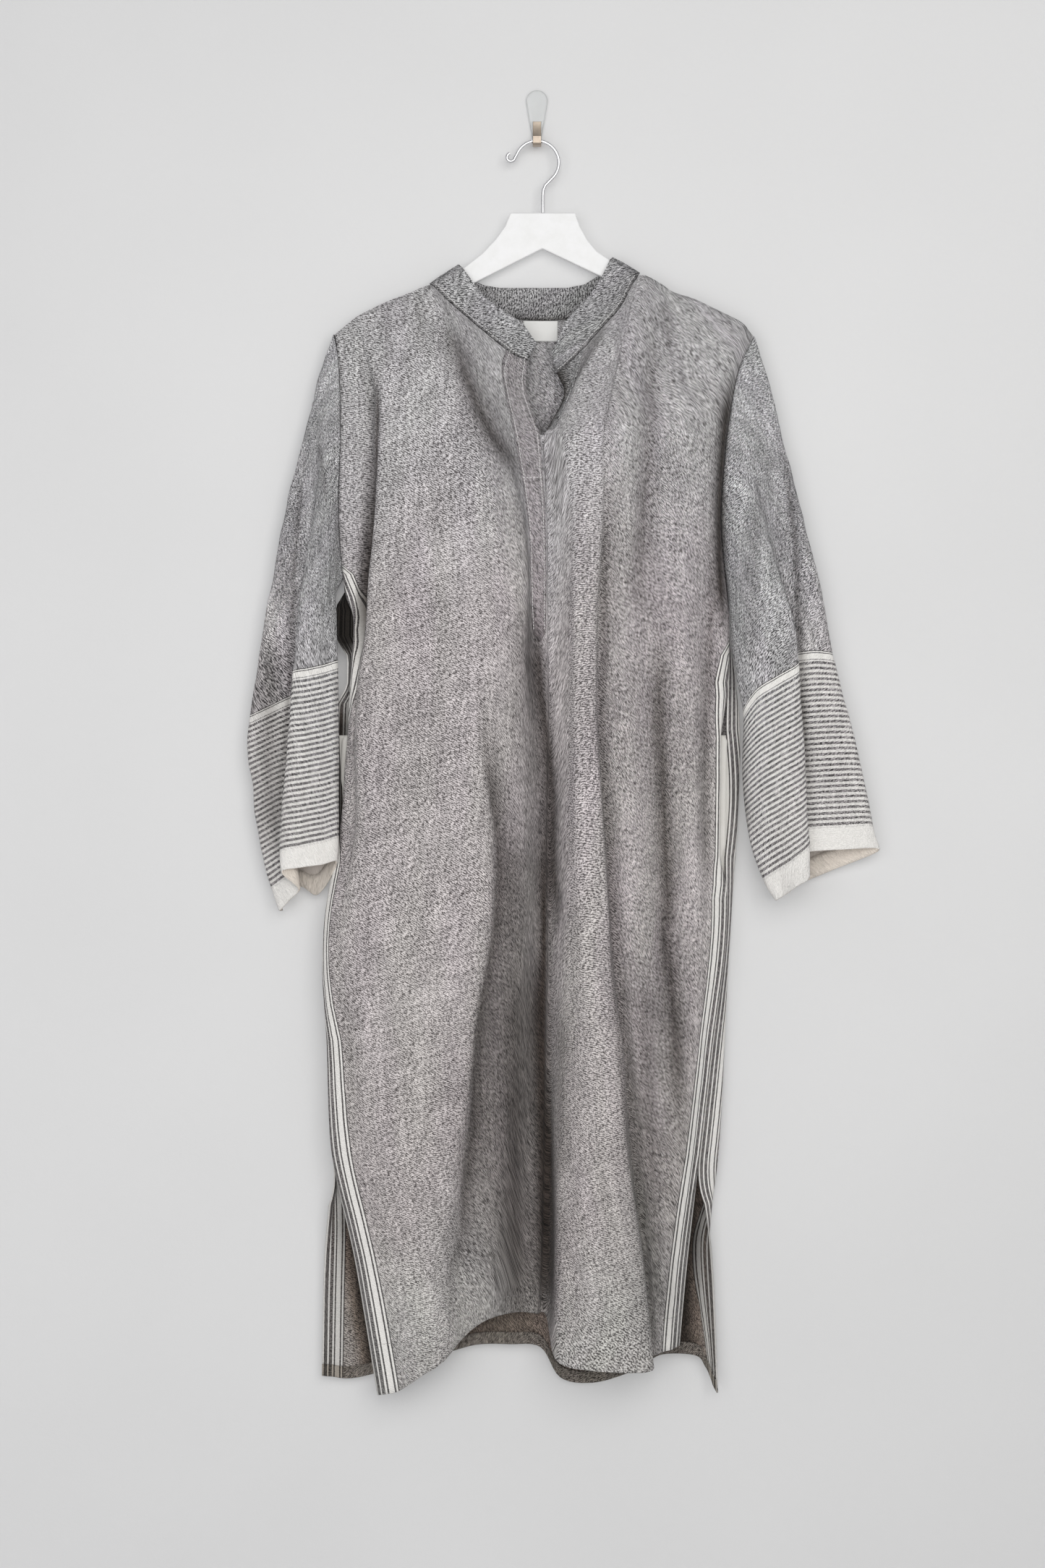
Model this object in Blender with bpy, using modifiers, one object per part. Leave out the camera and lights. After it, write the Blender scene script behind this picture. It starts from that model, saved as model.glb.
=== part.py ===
"""A long grey kaftan on a flat clothes hanger, hung from a small wall hook.

Origin: centre of the wall hook's flat back, on the wall. +Z is up, and the
garment faces -Y. The tables are in millimetres: x across, z up, and "out" is
the distance in front of the wall, which is -Y.
"""

import math

import bpy
import numpy as np
from mathutils import Vector

MM = 0.001

# Cloth and seams
CLOTH = 1.5
STRIP_CLOTH = 1.0
COLLAR_CLOTH = 1.8
BAG_CLOTH = 1.0
SEAM_GAP = 0.45
SEAM_DEPTH = 0.9
LAY_GAP = 0.35

# How finely the folds are followed
FOLD_STEPS = 2
YOKE_STEPS = 3
LENGTH_STEPS = 2
RING_STEPS = 3

# Heights at which the fold tables below are read, from the chest to above the hem
STATIONS = (-367, -463, -567, -687, -807, -927, -1047, -1167, -1287)
ARMPIT_LEFT = -525
ARMPIT_RIGHT = -557
SLIT_TOP_STATION = 7

# Shoulder: the cloth turns over the hanger's upper edge
SHOULDER_OUT = 14
TURN_DROP = 0.7
NECK_TURN = 0.3
FRONT_TURN_OUT = 19.8
BACK_TURN_OUT = 8.4
TIP_GAP = 1.6
TIP_FADE = 12

# Side seams: how the wall leaves the seam, in depth and inward
SIDE_ROLL = 4
SIDE_INSET = 0.2
SIDE_SHARE = 0.25

# Fold lines of the front, from the wearer's right side to the left.
# name, top (x, z, out), yoke (x, z, out), (x, out) at each station, hem (x, z, out)
FRONT_FOLDS = (
    ("side_seam_a", (-226, -250, 14.7), (-221, -298, 20),
     ((-220, 20), (-222, 20), (-214, 20), (-212, 20), (-214, 22),
      (-239, 24), (-235, 26), (-229, 28), (-203, 32)),
     (-178, -1435, 34)),
    ("side_turn_a", (-214, -240, 14.7), (-204, -299, 24),
     ((-202, 26), (-202, 26), (-205, 28), (-207, 30), (-209, 34),
      (-233, 36), (-229, 38), (-220, 40), (-194, 42)),
     (-169, -1431, 44)),
    ("side_valley_a", (-205, -233, 14.7), (-187, -299, 25),
     ((-188, 27), (-188, 27), (-196, 28), (-203, 32), (-204, 38),
      (-222, 44), (-215, 46), (-205, 48), (-180, 50)),
     (-156, -1427, 50)),
    ("side_fold_a", (-199, -229, 14.7), (-182, -300, 33),
     ((-181, 40), (-180, 45), (-187, 46), (-195, 48), (-197, 52),
      (-204, 54), (-195, 56), (-183, 57), (-161, 58)),
     (-141, -1416, 58)),
    ("flat_outer", (-174, -216, 14.7), (-159, -301, 36),
     ((-153, 46), (-149, 52), (-152, 56), (-157, 58), (-165, 62),
      (-167, 64), (-165, 66), (-159, 66), (-141, 66)),
     (-125, -1404, 64)),
    ("flat_middle", (-149, -206, 14.7), (-127, -297, 36),
     ((-110, 47), (-104, 54), (-104, 58), (-107, 60), (-113, 64),
      (-117, 67), (-121, 68), (-123, 68), (-117, 67)),
     (-112, -1397, 64)),
    ("flat_inner", (-124, -196, 14.7), (-92, -284, 35),
     ((-70, 46), (-54, 52), (-54, 57), (-62, 62), (-64, 66), (-66, 68), (-77, 68), (-93, 66), (-102, 62)),
     (-100, -1388, 58)),
    ("slope", (-115, -198, 20.5), (-82, -276, 31),
     ((-53, 41), (-32, 44), (-26, 47), (-38, 52), (-42, 56), (-42, 56), (-55, 50), (-74, 46), (-84, 43)),
     (-82, -1370, 40)),
    ("slope_valley", (-95, -218, 22), (-70, -287, 29),
     ((-42, 36), (-16, 38), (-11, 38), (-16, 40), (-16, 40), (-16, 38), (-26, 34), (-38, 32), (-46, 30)),
     (-57, -1353, 29)),
    ("placket_outer", (-35, -269, 27), (-39, -298, 31),
     ((-25, 40), (-10, 40), (-6, 36), (-1, 34), (1, 32), (-1, 29), (-3, 27), (-10, 26), (-16, 25)),
     (-24, -1345, 25)),
    ("opening_a", (-11, -282, 29), (-12, -318, 34),
     ((3, 42), (9, 42), (11, 37), (12, 33), (10, 29), (11, 27), (9, 25), (7, 24), (4, 24)),
     (0, -1347, 24)),
    ("opening_b", (22, -295, 28), (30, -323, 32),
     ((8, 42), (14, 42), (15, 37), (16, 34), (15, 31), (16, 29), (16, 27), (13, 26), (10, 26)),
     (8, -1349, 26)),
    ("fold_edge", (80, -237, 26), (51, -294, 38),
     ((16, 45), (21, 47), (22, 48), (24, 48), (25, 50), (30, 52), (32, 54), (24, 54), (21, 54)),
     (20, -1390, 54)),
    ("crest_one", (96, -217, 24), (77, -290, 44),
     ((44, 52), (44, 56), (43, 60), (44, 66), (46, 72), (52, 76), (56, 79), (58, 80), (63, 80)),
     (57, -1396, 78)),
    ("crest_one_edge", (109, -192, 20.5), (87, -290, 42),
     ((69, 48), (69, 52), (64, 56), (63, 60), (71, 66), (79, 70), (93, 72), (99, 72), (114, 70)),
     (123, -1400, 68)),
    ("crease_one", (119, -184, 14.7), (92, -289, 38),
     ((77, 41), (78, 43), (71, 45), (71, 47), (79, 48), (87, 48), (96, 46), (108, 44), (119, 42)),
     (127, -1392, 40)),
    ("crest_two", (138, -193, 14.7), (111, -293, 40),
     ((104, 47), (104, 49), (97, 51), (100, 53), (107, 55), (111, 55), (115, 51), (124, 46), (128, 44)),
     (135, -1387, 41)),
    ("valley_two", (153, -203, 14.7), (130, -300, 33),
     ((129, 35), (125, 35), (129, 34), (139, 32), (143, 30), (148, 30), (153, 32), (151, 36), (139, 40)),
     (143, -1385, 38)),
    ("crest_three", (177, -211, 14.7), (163, -301, 38),
     ((156, 43), (156, 45), (161, 46), (169, 46), (170, 46), (175, 44), (171, 42), (163, 40), (147, 40)),
     (149, -1384, 37)),
    ("crease_three", (209, -226, 14.7), (200, -300, 30),
     ((190, 33), (188, 33), (188, 32), (190, 32), (190, 34), (191, 36), (182, 38), (171, 38), (155, 38)),
     (154, -1382, 35)),
    ("side_turn_b", (230, -237, 14.7), (216, -299, 26),
     ((202, 28), (198, 28), (205, 30), (204, 30), (203, 30), (202, 30), (189, 32), (176, 33), (161, 34)),
     (156, -1381, 34)),
    ("side_seam_b", (242, -252, 14.7), (224, -298, 20),
     ((212, 20), (206, 20), (215, 20), (213, 20), (212, 20), (211, 22), (196, 24), (182, 26), (168, 28)),
     (159, -1381, 30)),
)
OPENING_A = 10
OPENING_B = 11
FIRST_NECK_LINE = 7
LAST_NECK_LINE = 14

# Fold lines of the back, in the same order; it lies close to the wall.
BACK_FOLDS = (
    ("side_seam_a", (-226, -250, 13.3), (-221, -298, 8),
     ((-220, 8), (-222, 8), (-214, 19), (-212, 19), (-214, 21),
      (-239, 23), (-235, 25), (-229, 27), (-239, 12)),
     (-242, -1419, 10)),
    ("side_turn_a", (-214, -240, 13.3), (-210, -299, 7),
     ((-209, 7), (-211, 7), (-208, 8), (-206, 8), (-208, 9), (-232, 9), (-229, 9), (-224, 10), (-230, 9)),
     (-232, -1420, 9)),
    ("edge_a", (-190, -224, 13.3), (-185, -300, 7),
     ((-180, 6), (-180, 6), (-180, 6), (-182, 6), (-190, 7), (-198, 8), (-196, 8), (-195, 9), (-200, 8)),
     (-200, -1421, 8)),
    ("wave_one", (-149, -206, 13.3), (-130, -300, 6),
     ((-125, 7), (-125, 8), (-125, 9), (-125, 10), (-125, 10),
      (-130, 11), (-130, 12), (-130, 12), (-125, 12)),
     (-122, -1398, 12)),
    ("corner_a", (-124, -196, 13.3), (-105, -300, 6),
     ((-98, 6), (-98, 7), (-98, 7), (-98, 8), (-97, 8), (-98, 9), (-99, 9), (-100, 10), (-97, 10)),
     (-95, -1391, 10)),
    ("wave_two", (-118, -198, 8), (-80, -300, 6),
     ((-70, 6), (-70, 6), (-70, 6), (-68, 6), (-66, 7), (-66, 7), (-68, 7), (-70, 8), (-68, 9)),
     (-66, -1384, 9)),
    ("neck_one", (-76, -223, 6.2), (-45, -300, 6),
     ((-38, 6), (-36, 7), (-34, 7), (-33, 8), (-32, 9), (-32, 9), (-33, 10), (-34, 11), (-33, 12)),
     (-30, -1383, 12)),
    ("neck_two", (-20, -232, 5.6), (-4, -300, 5.5),
     ((-2, 6), (0, 6), (0, 7), (2, 8), (3, 9), (3, 10), (3, 11), (4, 12), (4, 13)),
     (4, -1386, 13)),
    ("neck_three", (32, -232, 5.6), (32, -300, 5.5),
     ((30, 6), (28, 6), (26, 6), (24, 7), (23, 7), (22, 8), (22, 9), (22, 10), (24, 12)),
     (26, -1420, 13)),
    ("neck_four", (76, -223, 6), (62, -300, 5.5),
     ((60, 5.5), (60, 6), (58, 6), (58, 7), (58, 7), (58, 8), (60, 9), (62, 10), (62, 12)),
     (62, -1426, 13)),
    ("wave_three", (111, -189, 8), (95, -300, 6),
     ((94, 6), (95, 7), (96, 8), (97, 9), (98, 10), (100, 10), (102, 11), (104, 11), (104, 10)),
     (103, -1416, 9)),
    ("corner_b", (119, -184, 13.3), (115, -300, 6),
     ((112, 6), (112, 6.5), (114, 7), (117, 7.5), (119, 8), (121, 9), (122, 10), (123, 10), (123, 9.5)),
     (123, -1405, 9)),
    ("wave_four", (153, -203, 13.3), (135, -300, 7),
     ((130, 6), (130, 6), (132, 6), (138, 6), (140, 7), (142, 8), (142, 9), (142, 9), (142, 9)),
     (142, -1395, 9)),
    ("edge_b", (195, -219, 13.3), (180, -300, 7),
     ((175, 6), (175, 6), (178, 6), (184, 7), (184, 8), (182, 8), (180, 8), (178, 8), (176, 9)),
     (178, -1396, 10)),
    ("side_back_b", (215, -229, 13.3), (200, -300, 7),
     ((195, 6.5), (192, 6.5), (206, 6), (217, 5), (214, 5), (206, 5.5), (200, 6), (192, 6.5), (184, 8)),
     (189, -1408, 11)),
    ("side_turn_b", (230, -237, 13.3), (213, -299, 7.5),
     ((203, 7), (199, 7), (213, 9), (228, 10), (225, 10), (217, 10), (211, 11), (204, 12), (192, 10)),
     (197, -1424, 13)),
    ("side_seam_b", (242, -252, 13.3), (224, -298, 8),
     ((212, 8), (206, 8), (215, 19), (213, 19), (212, 19), (211, 21), (196, 23), (182, 25), (197, 14)),
     (203, -1436, 18)),
)
BACK_NECK_LINES = (5, 10)

# Sleeve rings from the shoulder to the cuff. Each ring runs from the underarm
# seam along the front layer to its outer fold, behind it to a hidden crease,
# out again to the sleeve's outer edge, and back along the wall.
# name, underarm, front_one, front_two, fold, crease, outer_strip, outer_edge, rear_one, rear_two
LEFT_RINGS = (
    ("upper", (-225, -543, 22), (-226, -497, 30), (-231, -452, 34), (-238, -412, 34), (-241, -384, 31),
     (-244, -352, 27), (-247, -309, 16), (-239, -377, 8), (-231, -475, 8)),
    ("above_elbow", (-224, -566, 26), (-231, -536, 36), (-240, -506, 40), (-251, -480, 41), (-247, -462, 34),
     (-257, -428, 27), (-268, -391, 18), (-254, -450, 8), (-238, -515, 9)),
    ("elbow", (-223, -594, 30), (-233, -580, 41), (-246, -565, 45), (-264, -551, 44), (-250, -544, 33),
     (-274, -517, 27), (-288, -480, 20), (-266, -523, 8), (-242, -568, 10)),
    ("stripe", (-222, -623, 32), (-237, -628, 44), (-254, -632, 48), (-271, -636, 46), (-256, -651, 34),
     (-291, -669, 28), (-322, -683, 20), (-291, -666, 8), (-250, -637, 10)),
    ("forearm", (-221, -693, 32), (-237, -698, 44), (-256, -704, 48), (-277, -711, 46), (-261, -729, 34),
     (-294, -742, 28), (-319, -756, 20), (-291, -737, 8), (-250, -711, 10)),
    ("wrist", (-221, -767, 32), (-237, -771, 44), (-260, -775, 48), (-283, -782, 46), (-268, -801, 34),
     (-290, -814, 28), (-310, -826, 20), (-288, -808, 8), (-250, -784, 10)),
    ("band", (-221, -816, 32), (-238, -820, 44), (-262, -825, 48), (-286, -832, 46), (-269, -852, 34),
     (-284, -863, 28), (-297, -872, 20), (-278, -853, 8), (-247, -841, 10)),
    ("cuff", (-222, -842, 32), (-240, -844, 44), (-264, -847, 48), (-284, -852, 46), (-267, -871, 34),
     (-278, -885, 28), (-289, -896, 20), (-268, -870, 10), (-245, -878, 12)),
)
RIGHT_RINGS = (
    ("upper", (216, -578, 24), (218, -528, 36), (226, -482, 38), (240, -437, 34), (245, -408, 28),
     (252, -368, 26), (261, -310, 18), (247, -393, 8), (225, -507, 8)),
    ("above_elbow", (217, -602, 28), (224, -575, 42), (237, -543, 44), (260, -506, 38), (263, -485, 30),
     (271, -449, 28), (282, -395, 20), (267, -458, 8), (234, -556, 8)),
    ("elbow", (223, -638, 30), (231, -619, 46), (252, -598, 50), (282, -572, 47), (276, -556, 34),
     (295, -538, 31), (316, -529, 20), (287, -548, 8), (247, -597, 8)),
    ("stripe", (230, -679, 32), (242, -657, 48), (266, -641, 53), (290, -626, 50), (281, -617, 36),
     (308, -612, 34), (333, -614, 20), (304, -621, 8), (259, -654, 8)),
    ("forearm", (229, -747, 32), (245, -731, 48), (268, -717, 54), (294, -700, 50), (283, -689, 36),
     (320, -685, 34), (351, -685, 20), (308, -694, 8), (263, -723, 8)),
    ("wrist", (237, -816, 34), (252, -802, 50), (274, -788, 54), (298, -771, 50), (286, -759, 36),
     (332, -755, 34), (367, -756, 20), (316, -772, 8), (275, -800, 8)),
    ("band", (252, -862, 36), (267, -851, 50), (283, -840, 54), (301, -823, 50), (289, -808, 36),
     (340, -803, 34), (377, -804, 20), (324, -825, 8), (283, -845, 8)),
    ("cuff", (265, -884, 38), (275, -876, 50), (286, -868, 54), (302, -856, 50), (290, -833, 36),
     (344, -827, 34), (384, -828, 20), (332, -851, 8), (295, -867, 8)),
)
FRONT_RING_SPANS = 6
REAR_RING_SPANS = 3

# Collar: its upper edge, from one front end over the shoulder and the back to the other.
COLLAR_TOP = (
    (0, -264, 31), (-16, -240, 29), (-36, -227, 28), (-58, -211, 26), (-72, -193, 24), (-83, -177, 21.5),
    (-88, -171, 14), (-86, -174, 8.2), (-76, -186, 6.6), (-60, -193, 6), (-42, -196, 5.5), (-16, -196, 5.5),
    (34, -196, 5.5), (54, -192, 6), (70, -182, 6.6), (84, -165, 8.2), (85, -163, 14), (82, -167, 21.5),
    (72, -188, 24), (60, -207, 26), (43, -225, 27), (29, -239, 28), (5, -269, 29),
)
COLLAR_CORNERS = (6, 16)
COLLAR_FRONT_COLUMNS = 12
COLLAR_BACK_COLUMNS = 15
NECK_CORNER_A = (-121, -193, 14)
NECK_CORNER_B = (116, -181, 14)

# Placket: the strip on the opening's edge, down to its stitched point
PLACKET_POINT_Z = -598
PLACKET_TAPER = 12
PLACKET_POINT_SHARE = 0.5
UNDER_PLACKET_REACH = 0.96

# Pocket bags in the side seams
POCKET_TOP_Z = -700
POCKET_BOTTOM_Z = -905
POCKET_DEPTH = 120
POCKET_END_SHARE = 0.7
POCKET_FOLD = 1.5
POCKET_OUT_FRONT = 19
POCKET_OUT_BACK = 14.5
POCKET_SIDE_GAPS = {-1: 5.1, 1: 1.7}
POCKET_ROWS = 8
POCKET_MOUTH = (-693, -838)
POCKET_GAPE = 5
POCKET_GAPE_BACK = 4

# Woven label under the back collar
LABEL_SIZE = (39, 23)
LABEL_CENTRE = (4, -245)
LABEL_THICK = 0.6
LABEL_BESIDE = 70

# Hanger: flat body, wire hook
HANGER_THICK = 7
HANGER_OUTLINE = (
    (-30, -114), (43, -114), (48, -129), (57, -145), (67, -157), (84, -168.5), (98, -182.5), (112, -192),
    (120, -193), (138, -196.6), (153, -206.4), (177, -214.4), (209, -229.4), (224, -238.4), (230, -247),
    (224, -257),
    (189, -245), (149, -227), (104, -201), (71, -185), (6, -154), (-69, -192), (-99, -207), (-136, -225),
    (-172, -241), (-203, -256), (-211, -251), (-211, -242.4), (-197, -231.6), (-174, -219.4), (-149, -209.4),
    (-119, -200.6), (-80, -174), (-61, -159), (-46, -143), (-36, -129),
)
WIRE_RADIUS = 2
CROOK_CENTRE = (0, -57)
CROOK_RADIUS = 24.5
EYE_CENTRE = (-29.3, -51)
EYE_RADIUS = 4.4
EYE_SWEEP = (110, 350)
EYE_STEPS = 9
CROOK_SWEEP = (158, -48)
CROOK_STEPS = 18
STEM = ((9.2, -82.5), (6.9, -88), (6.4, -94), (6.4, -113.6))

# Wall hook: teardrop plate and its J-shaped prong
PLATE_THICK = 3
PLATE_TOP_RADIUS = 12
PLATE_TOP_CENTRE_Z = 16
PLATE_FOOT_RADIUS = 5
PLATE_FOOT_CENTRE_Z = -26
PLATE_TOP_SWEEP = (-8, 188)
PLATE_TOP_STEPS = 16
PLATE_FOOT_SWEEP = (190, 350)
PLATE_FOOT_STEPS = 8
PRONG_WIDTH = 9.6
PRONG_PROFILE = (
    (3.3, -8), (3.3, -30), (10, -38.3), (17, -38.3), (19, -36), (19, -28), (16.5, -28), (16.5, -35.3),
    (11.5, -35.3), (6, -26), (5.5, -8),
)


def clear_scene():
    for obj in list(bpy.data.objects):
        bpy.data.objects.remove(obj, do_unlink=True)


def new_collection(name):
    collection = bpy.data.collections.new(name)
    bpy.context.scene.collection.children.link(collection)
    return collection


def material(name, colour, roughness, metallic=0.0):
    result = bpy.data.materials.new(name)
    result.use_nodes = True
    shader = result.node_tree.nodes["Principled BSDF"]
    shader.inputs["Base Color"].default_value = (*colour, 1.0)
    shader.inputs["Roughness"].default_value = roughness
    shader.inputs["Metallic"].default_value = metallic
    return result


def world(point):
    """Turns (x, z, out) in millimetres into a place in metres."""
    x, z, out = point
    return Vector((x * MM, -out * MM, z * MM))


def smooth_path(points, steps):
    """A Catmull-Rom path through the points, with this many steps between two of them."""
    points = np.asarray(points, float)
    padded = np.vstack([2 * points[0] - points[1], points, 2 * points[-1] - points[-2]])
    path = []
    for i in range(1, len(padded) - 2):
        before, start, end, after = padded[i - 1], padded[i], padded[i + 1], padded[i + 2]
        for k in range(steps):
            t = k / steps
            path.append(0.5 * (
                2 * start + (end - before) * t + (2 * before - 5 * start + 4 * end - after) * t**2
                + (3 * start - before - 3 * end + after) * t**3
            ))
    path.append(points[-1])
    return np.array(path)


def smooth_loop(points, steps):
    """The same through a closed ring of points."""
    count = len(points)
    wrapped = [points[-1], *points, points[0], points[1]]
    return smooth_path(wrapped, steps)[steps:steps * (count + 1)]


def resample(points, count):
    """Points at equal distances along a path."""
    points = np.asarray(points, float)
    lengths = np.r_[0, np.cumsum(np.linalg.norm(np.diff(points, axis=0), axis=1))]
    wanted = np.linspace(0, lengths[-1], count)
    return np.stack([np.interp(wanted, lengths, points[:, k]) for k in range(3)], axis=1)


def fold_line(top, yoke, stations, hem, turn_out):
    """The points down one fold, from the shoulder or neck to the hem."""
    on_shoulder = abs(top[2] - SHOULDER_OUT) < 1
    neck_turn = top[2] + math.copysign(NECK_TURN, turn_out - SHOULDER_OUT)
    turn = (top[0], top[1] - TURN_DROP, turn_out if on_shoulder else neck_turn)
    chest = (stations[0][0], STATIONS[0], stations[0][1])
    upper = smooth_path((turn, yoke, chest), YOKE_STEPS)
    below = [(x, z, out) for (x, out), z in zip(stations, STATIONS)] + [hem]
    lower = smooth_path(below, LENGTH_STEPS)
    return np.vstack([top, upper, lower[1:]])


CHEST_ROW = 1 + 2 * YOKE_STEPS


def follow_seam(back_line, front_line, armpit_z, gape):
    """Lays the back's side seam behind the front's, from the armpit to the slit, and opens the pocket's mouth."""
    heights = front_line[:, 1]
    joined = (heights <= armpit_z) & (heights >= STATIONS[SLIT_TOP_STATION])
    tied = back_line.copy()
    tied[joined] = front_line[joined] - (0, 0, SEAM_DEPTH)
    share = np.clip((POCKET_MOUTH[0] - heights) / (POCKET_MOUTH[0] - POCKET_MOUTH[1]), 0, 1)
    mouth = np.sin(math.pi * share)
    tied[:, 0] += gape * mouth
    tied[:, 2] -= gape / POCKET_GAPE * POCKET_GAPE_BACK * mouth
    return tied


def roll_at_seam(edge, beside, armpit_z, outward, depth_sign):
    """A line just inside a side seam, so that the wall leaves the seam along the depth."""
    rolled = edge + (beside - edge) * SIDE_SHARE
    inside = (beside[:, 0] - edge[:, 0]) * outward < 1
    folded = (edge[:, 1] < armpit_z) & (edge[:, 1] > STATIONS[SLIT_TOP_STATION] - 1) & inside
    rolled[folded] = edge[folded] + (-SIDE_INSET * outward, 0, depth_sign * SIDE_ROLL)
    return rolled


def panel_grid(lines, depth_sign):
    """Rows down the panel and columns across it."""
    roll_a = roll_at_seam(lines[0], lines[1], ARMPIT_LEFT, -1, depth_sign)
    roll_b = roll_at_seam(lines[-1], lines[-2], ARMPIT_RIGHT, 1, depth_sign)
    inner = np.array([roll_a, *lines[1:-1], roll_b])
    rows = []
    for r in range(inner.shape[1]):
        across = smooth_path(inner[:, r], FOLD_STEPS)
        rows.append(np.vstack([lines[0][r], across, lines[-1][r]]))
    return np.array(rows)


def column_of(line):
    """The grid column of a fold line, counting the seam's own column."""
    return 1 + line * FOLD_STEPS


def grid_normals(grid):
    """Unit normals of a grid of points, out of the garment's front for a front grid."""
    down = np.gradient(grid, axis=0)
    across = np.gradient(grid, axis=1)
    normals = np.cross(down, across)
    normals /= np.linalg.norm(normals, axis=2, keepdims=True)
    return normals


def surface(name, grid, thick, finish, collection, hole=None, closed=False, flip=False):
    """A cloth wall: an open surface on the outer points, thickened inward."""
    rows, columns = grid.shape[:2]
    verts = [world(point) for row in grid for point in row]
    faces = []
    for r in range(rows - 1):
        for c in range(columns if closed else columns - 1):
            if hole and hole(r, c):
                continue
            beside = (c + 1) % columns
            above, below = r * columns, (r + 1) * columns
            face = [above + c, below + c, below + beside, above + beside]
            faces.append(face[::-1] if flip else face)
    used = sorted({index for face in faces for index in face})
    place = {index: k for k, index in enumerate(used)}
    mesh = bpy.data.meshes.new(name)
    mesh.from_pydata([verts[i] for i in used], [], [[place[i] for i in face] for face in faces])
    obj = bpy.data.objects.new(name, mesh)
    collection.objects.link(obj)
    mesh.materials.append(finish)
    mesh.shade_smooth()
    wall = obj.modifiers.new("wall", "SOLIDIFY")
    wall.thickness = thick * MM
    wall.offset = -1
    wall.use_quality_normals = True
    return obj


def build_front(grid, finish, collection):
    """The front panel with its slit from the neck to the chest."""
    first, last = column_of(OPENING_A), column_of(OPENING_B)

    def in_opening(row, column):
        return row < CHEST_ROW and first <= column < last

    return surface("front", grid, CLOTH, finish, collection, hole=in_opening)


def armhole(front, back, column, armpit_z, side):
    """The seam round an armhole: up the front edge to the shoulder, then down the back edge."""
    halves = []
    for grid, top_first in ((front, False), (back, True)):
        edge = grid[:, column]
        above = edge[edge[:, 1] > armpit_z]
        below = edge[edge[:, 1] <= armpit_z][0]
        share = (above[-1][1] - armpit_z) / (above[-1][1] - below[1])
        whole = np.vstack([above, above[-1] + (below - above[-1]) * share])
        halves.append(whole if top_first else whole[::-1])
    up = resample(halves[0], FRONT_RING_SPANS * RING_STEPS + 1)
    down = resample(halves[1], REAR_RING_SPANS * RING_STEPS + 1)
    up[0] = (up[0] + down[-1]) / 2
    up[-1] = (up[-1] + down[0]) / 2
    ring = np.vstack([up, down[1:-1]])
    tip = np.exp(-((up[-1][1] - ring[:, 1]) / TIP_FADE) ** 2)
    ring[:, 0] += side * (SEAM_GAP + TIP_GAP * tip)
    return ring


def build_sleeve(name, first_ring, rings, finish, collection, side):
    controls = [first_ring] + [smooth_loop(row[1:], RING_STEPS) for row in rings]
    controls = np.array(controls)
    columns = [smooth_path(controls[:, k], LENGTH_STEPS) for k in range(controls.shape[1])]
    grid = np.stack(columns, axis=1)
    surface(name, grid, CLOTH, finish, collection, closed=True, flip=side < 0)
    return grid


def build_collar(front, back, finish, collection):
    """The band on the neck seam, from one front end round the back to the other."""
    left = front[0, column_of(FIRST_NECK_LINE):column_of(OPENING_A) + 1][::-1]
    behind = back[0, column_of(BACK_NECK_LINES[0]):column_of(BACK_NECK_LINES[1]) + 1]
    right = front[0, column_of(OPENING_B):column_of(LAST_NECK_LINE) + 1][::-1]
    a, b = COLLAR_CORNERS
    stretches = (
        (left, COLLAR_TOP[:a], COLLAR_FRONT_COLUMNS),
        ([NECK_CORNER_A], COLLAR_TOP[a:a + 1], 1),
        (behind, COLLAR_TOP[a + 1:b], COLLAR_BACK_COLUMNS),
        ([NECK_CORNER_B], COLLAR_TOP[b:b + 1], 1),
        (right, COLLAR_TOP[b + 1:], COLLAR_FRONT_COLUMNS),
    )
    foot = np.vstack([resample(seam, count) for seam, _, count in stretches])
    top = np.vstack([resample(edge, count) for _, edge, count in stretches])
    rise = top - foot
    rise /= np.linalg.norm(rise, axis=1, keepdims=True)
    foot = foot + rise * SEAM_GAP
    grid = np.array([top, (top + foot) / 2, foot])
    return surface("collar", grid, COLLAR_CLOTH, finish, collection, flip=True)


def build_placket(front, normals, finish, collection):
    """The strip on the opening's upper edge, which runs down to a point."""
    first, last = column_of(OPENING_A - 1), column_of(OPENING_A)
    strip = front[1:, first:last + 1] + normals[1:, first:last + 1] * (LAY_GAP + STRIP_CLOTH)
    rows = [row for row in strip if row[0][1] > PLACKET_POINT_Z]
    middle = rows[-1].mean(axis=0)
    end = np.array([middle + (point - middle) * PLACKET_POINT_SHARE for point in rows[-1]])
    end[:, 1] -= PLACKET_TAPER
    grid = np.array(rows + [end])
    return surface("placket_left", grid, STRIP_CLOTH, finish, collection)


def build_under_placket(front, finish, collection):
    """The strip on the opening's other edge, tucked beside the first."""
    first = column_of(OPENING_B)
    span = front[1:CHEST_ROW, first:first + 2]
    lift = np.cross(np.gradient(span[:, 0], axis=0), span[:, 1] - span[:, 0])
    lift *= (LAY_GAP + STRIP_CLOTH) / np.linalg.norm(lift, axis=1, keepdims=True)
    near = span[:, 0] + lift
    far = near + (span[:, 1] - span[:, 0]) * UNDER_PLACKET_REACH
    grid = np.stack([near, far], axis=1)
    return surface("placket_right", grid, STRIP_CLOTH, finish, collection)


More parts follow.
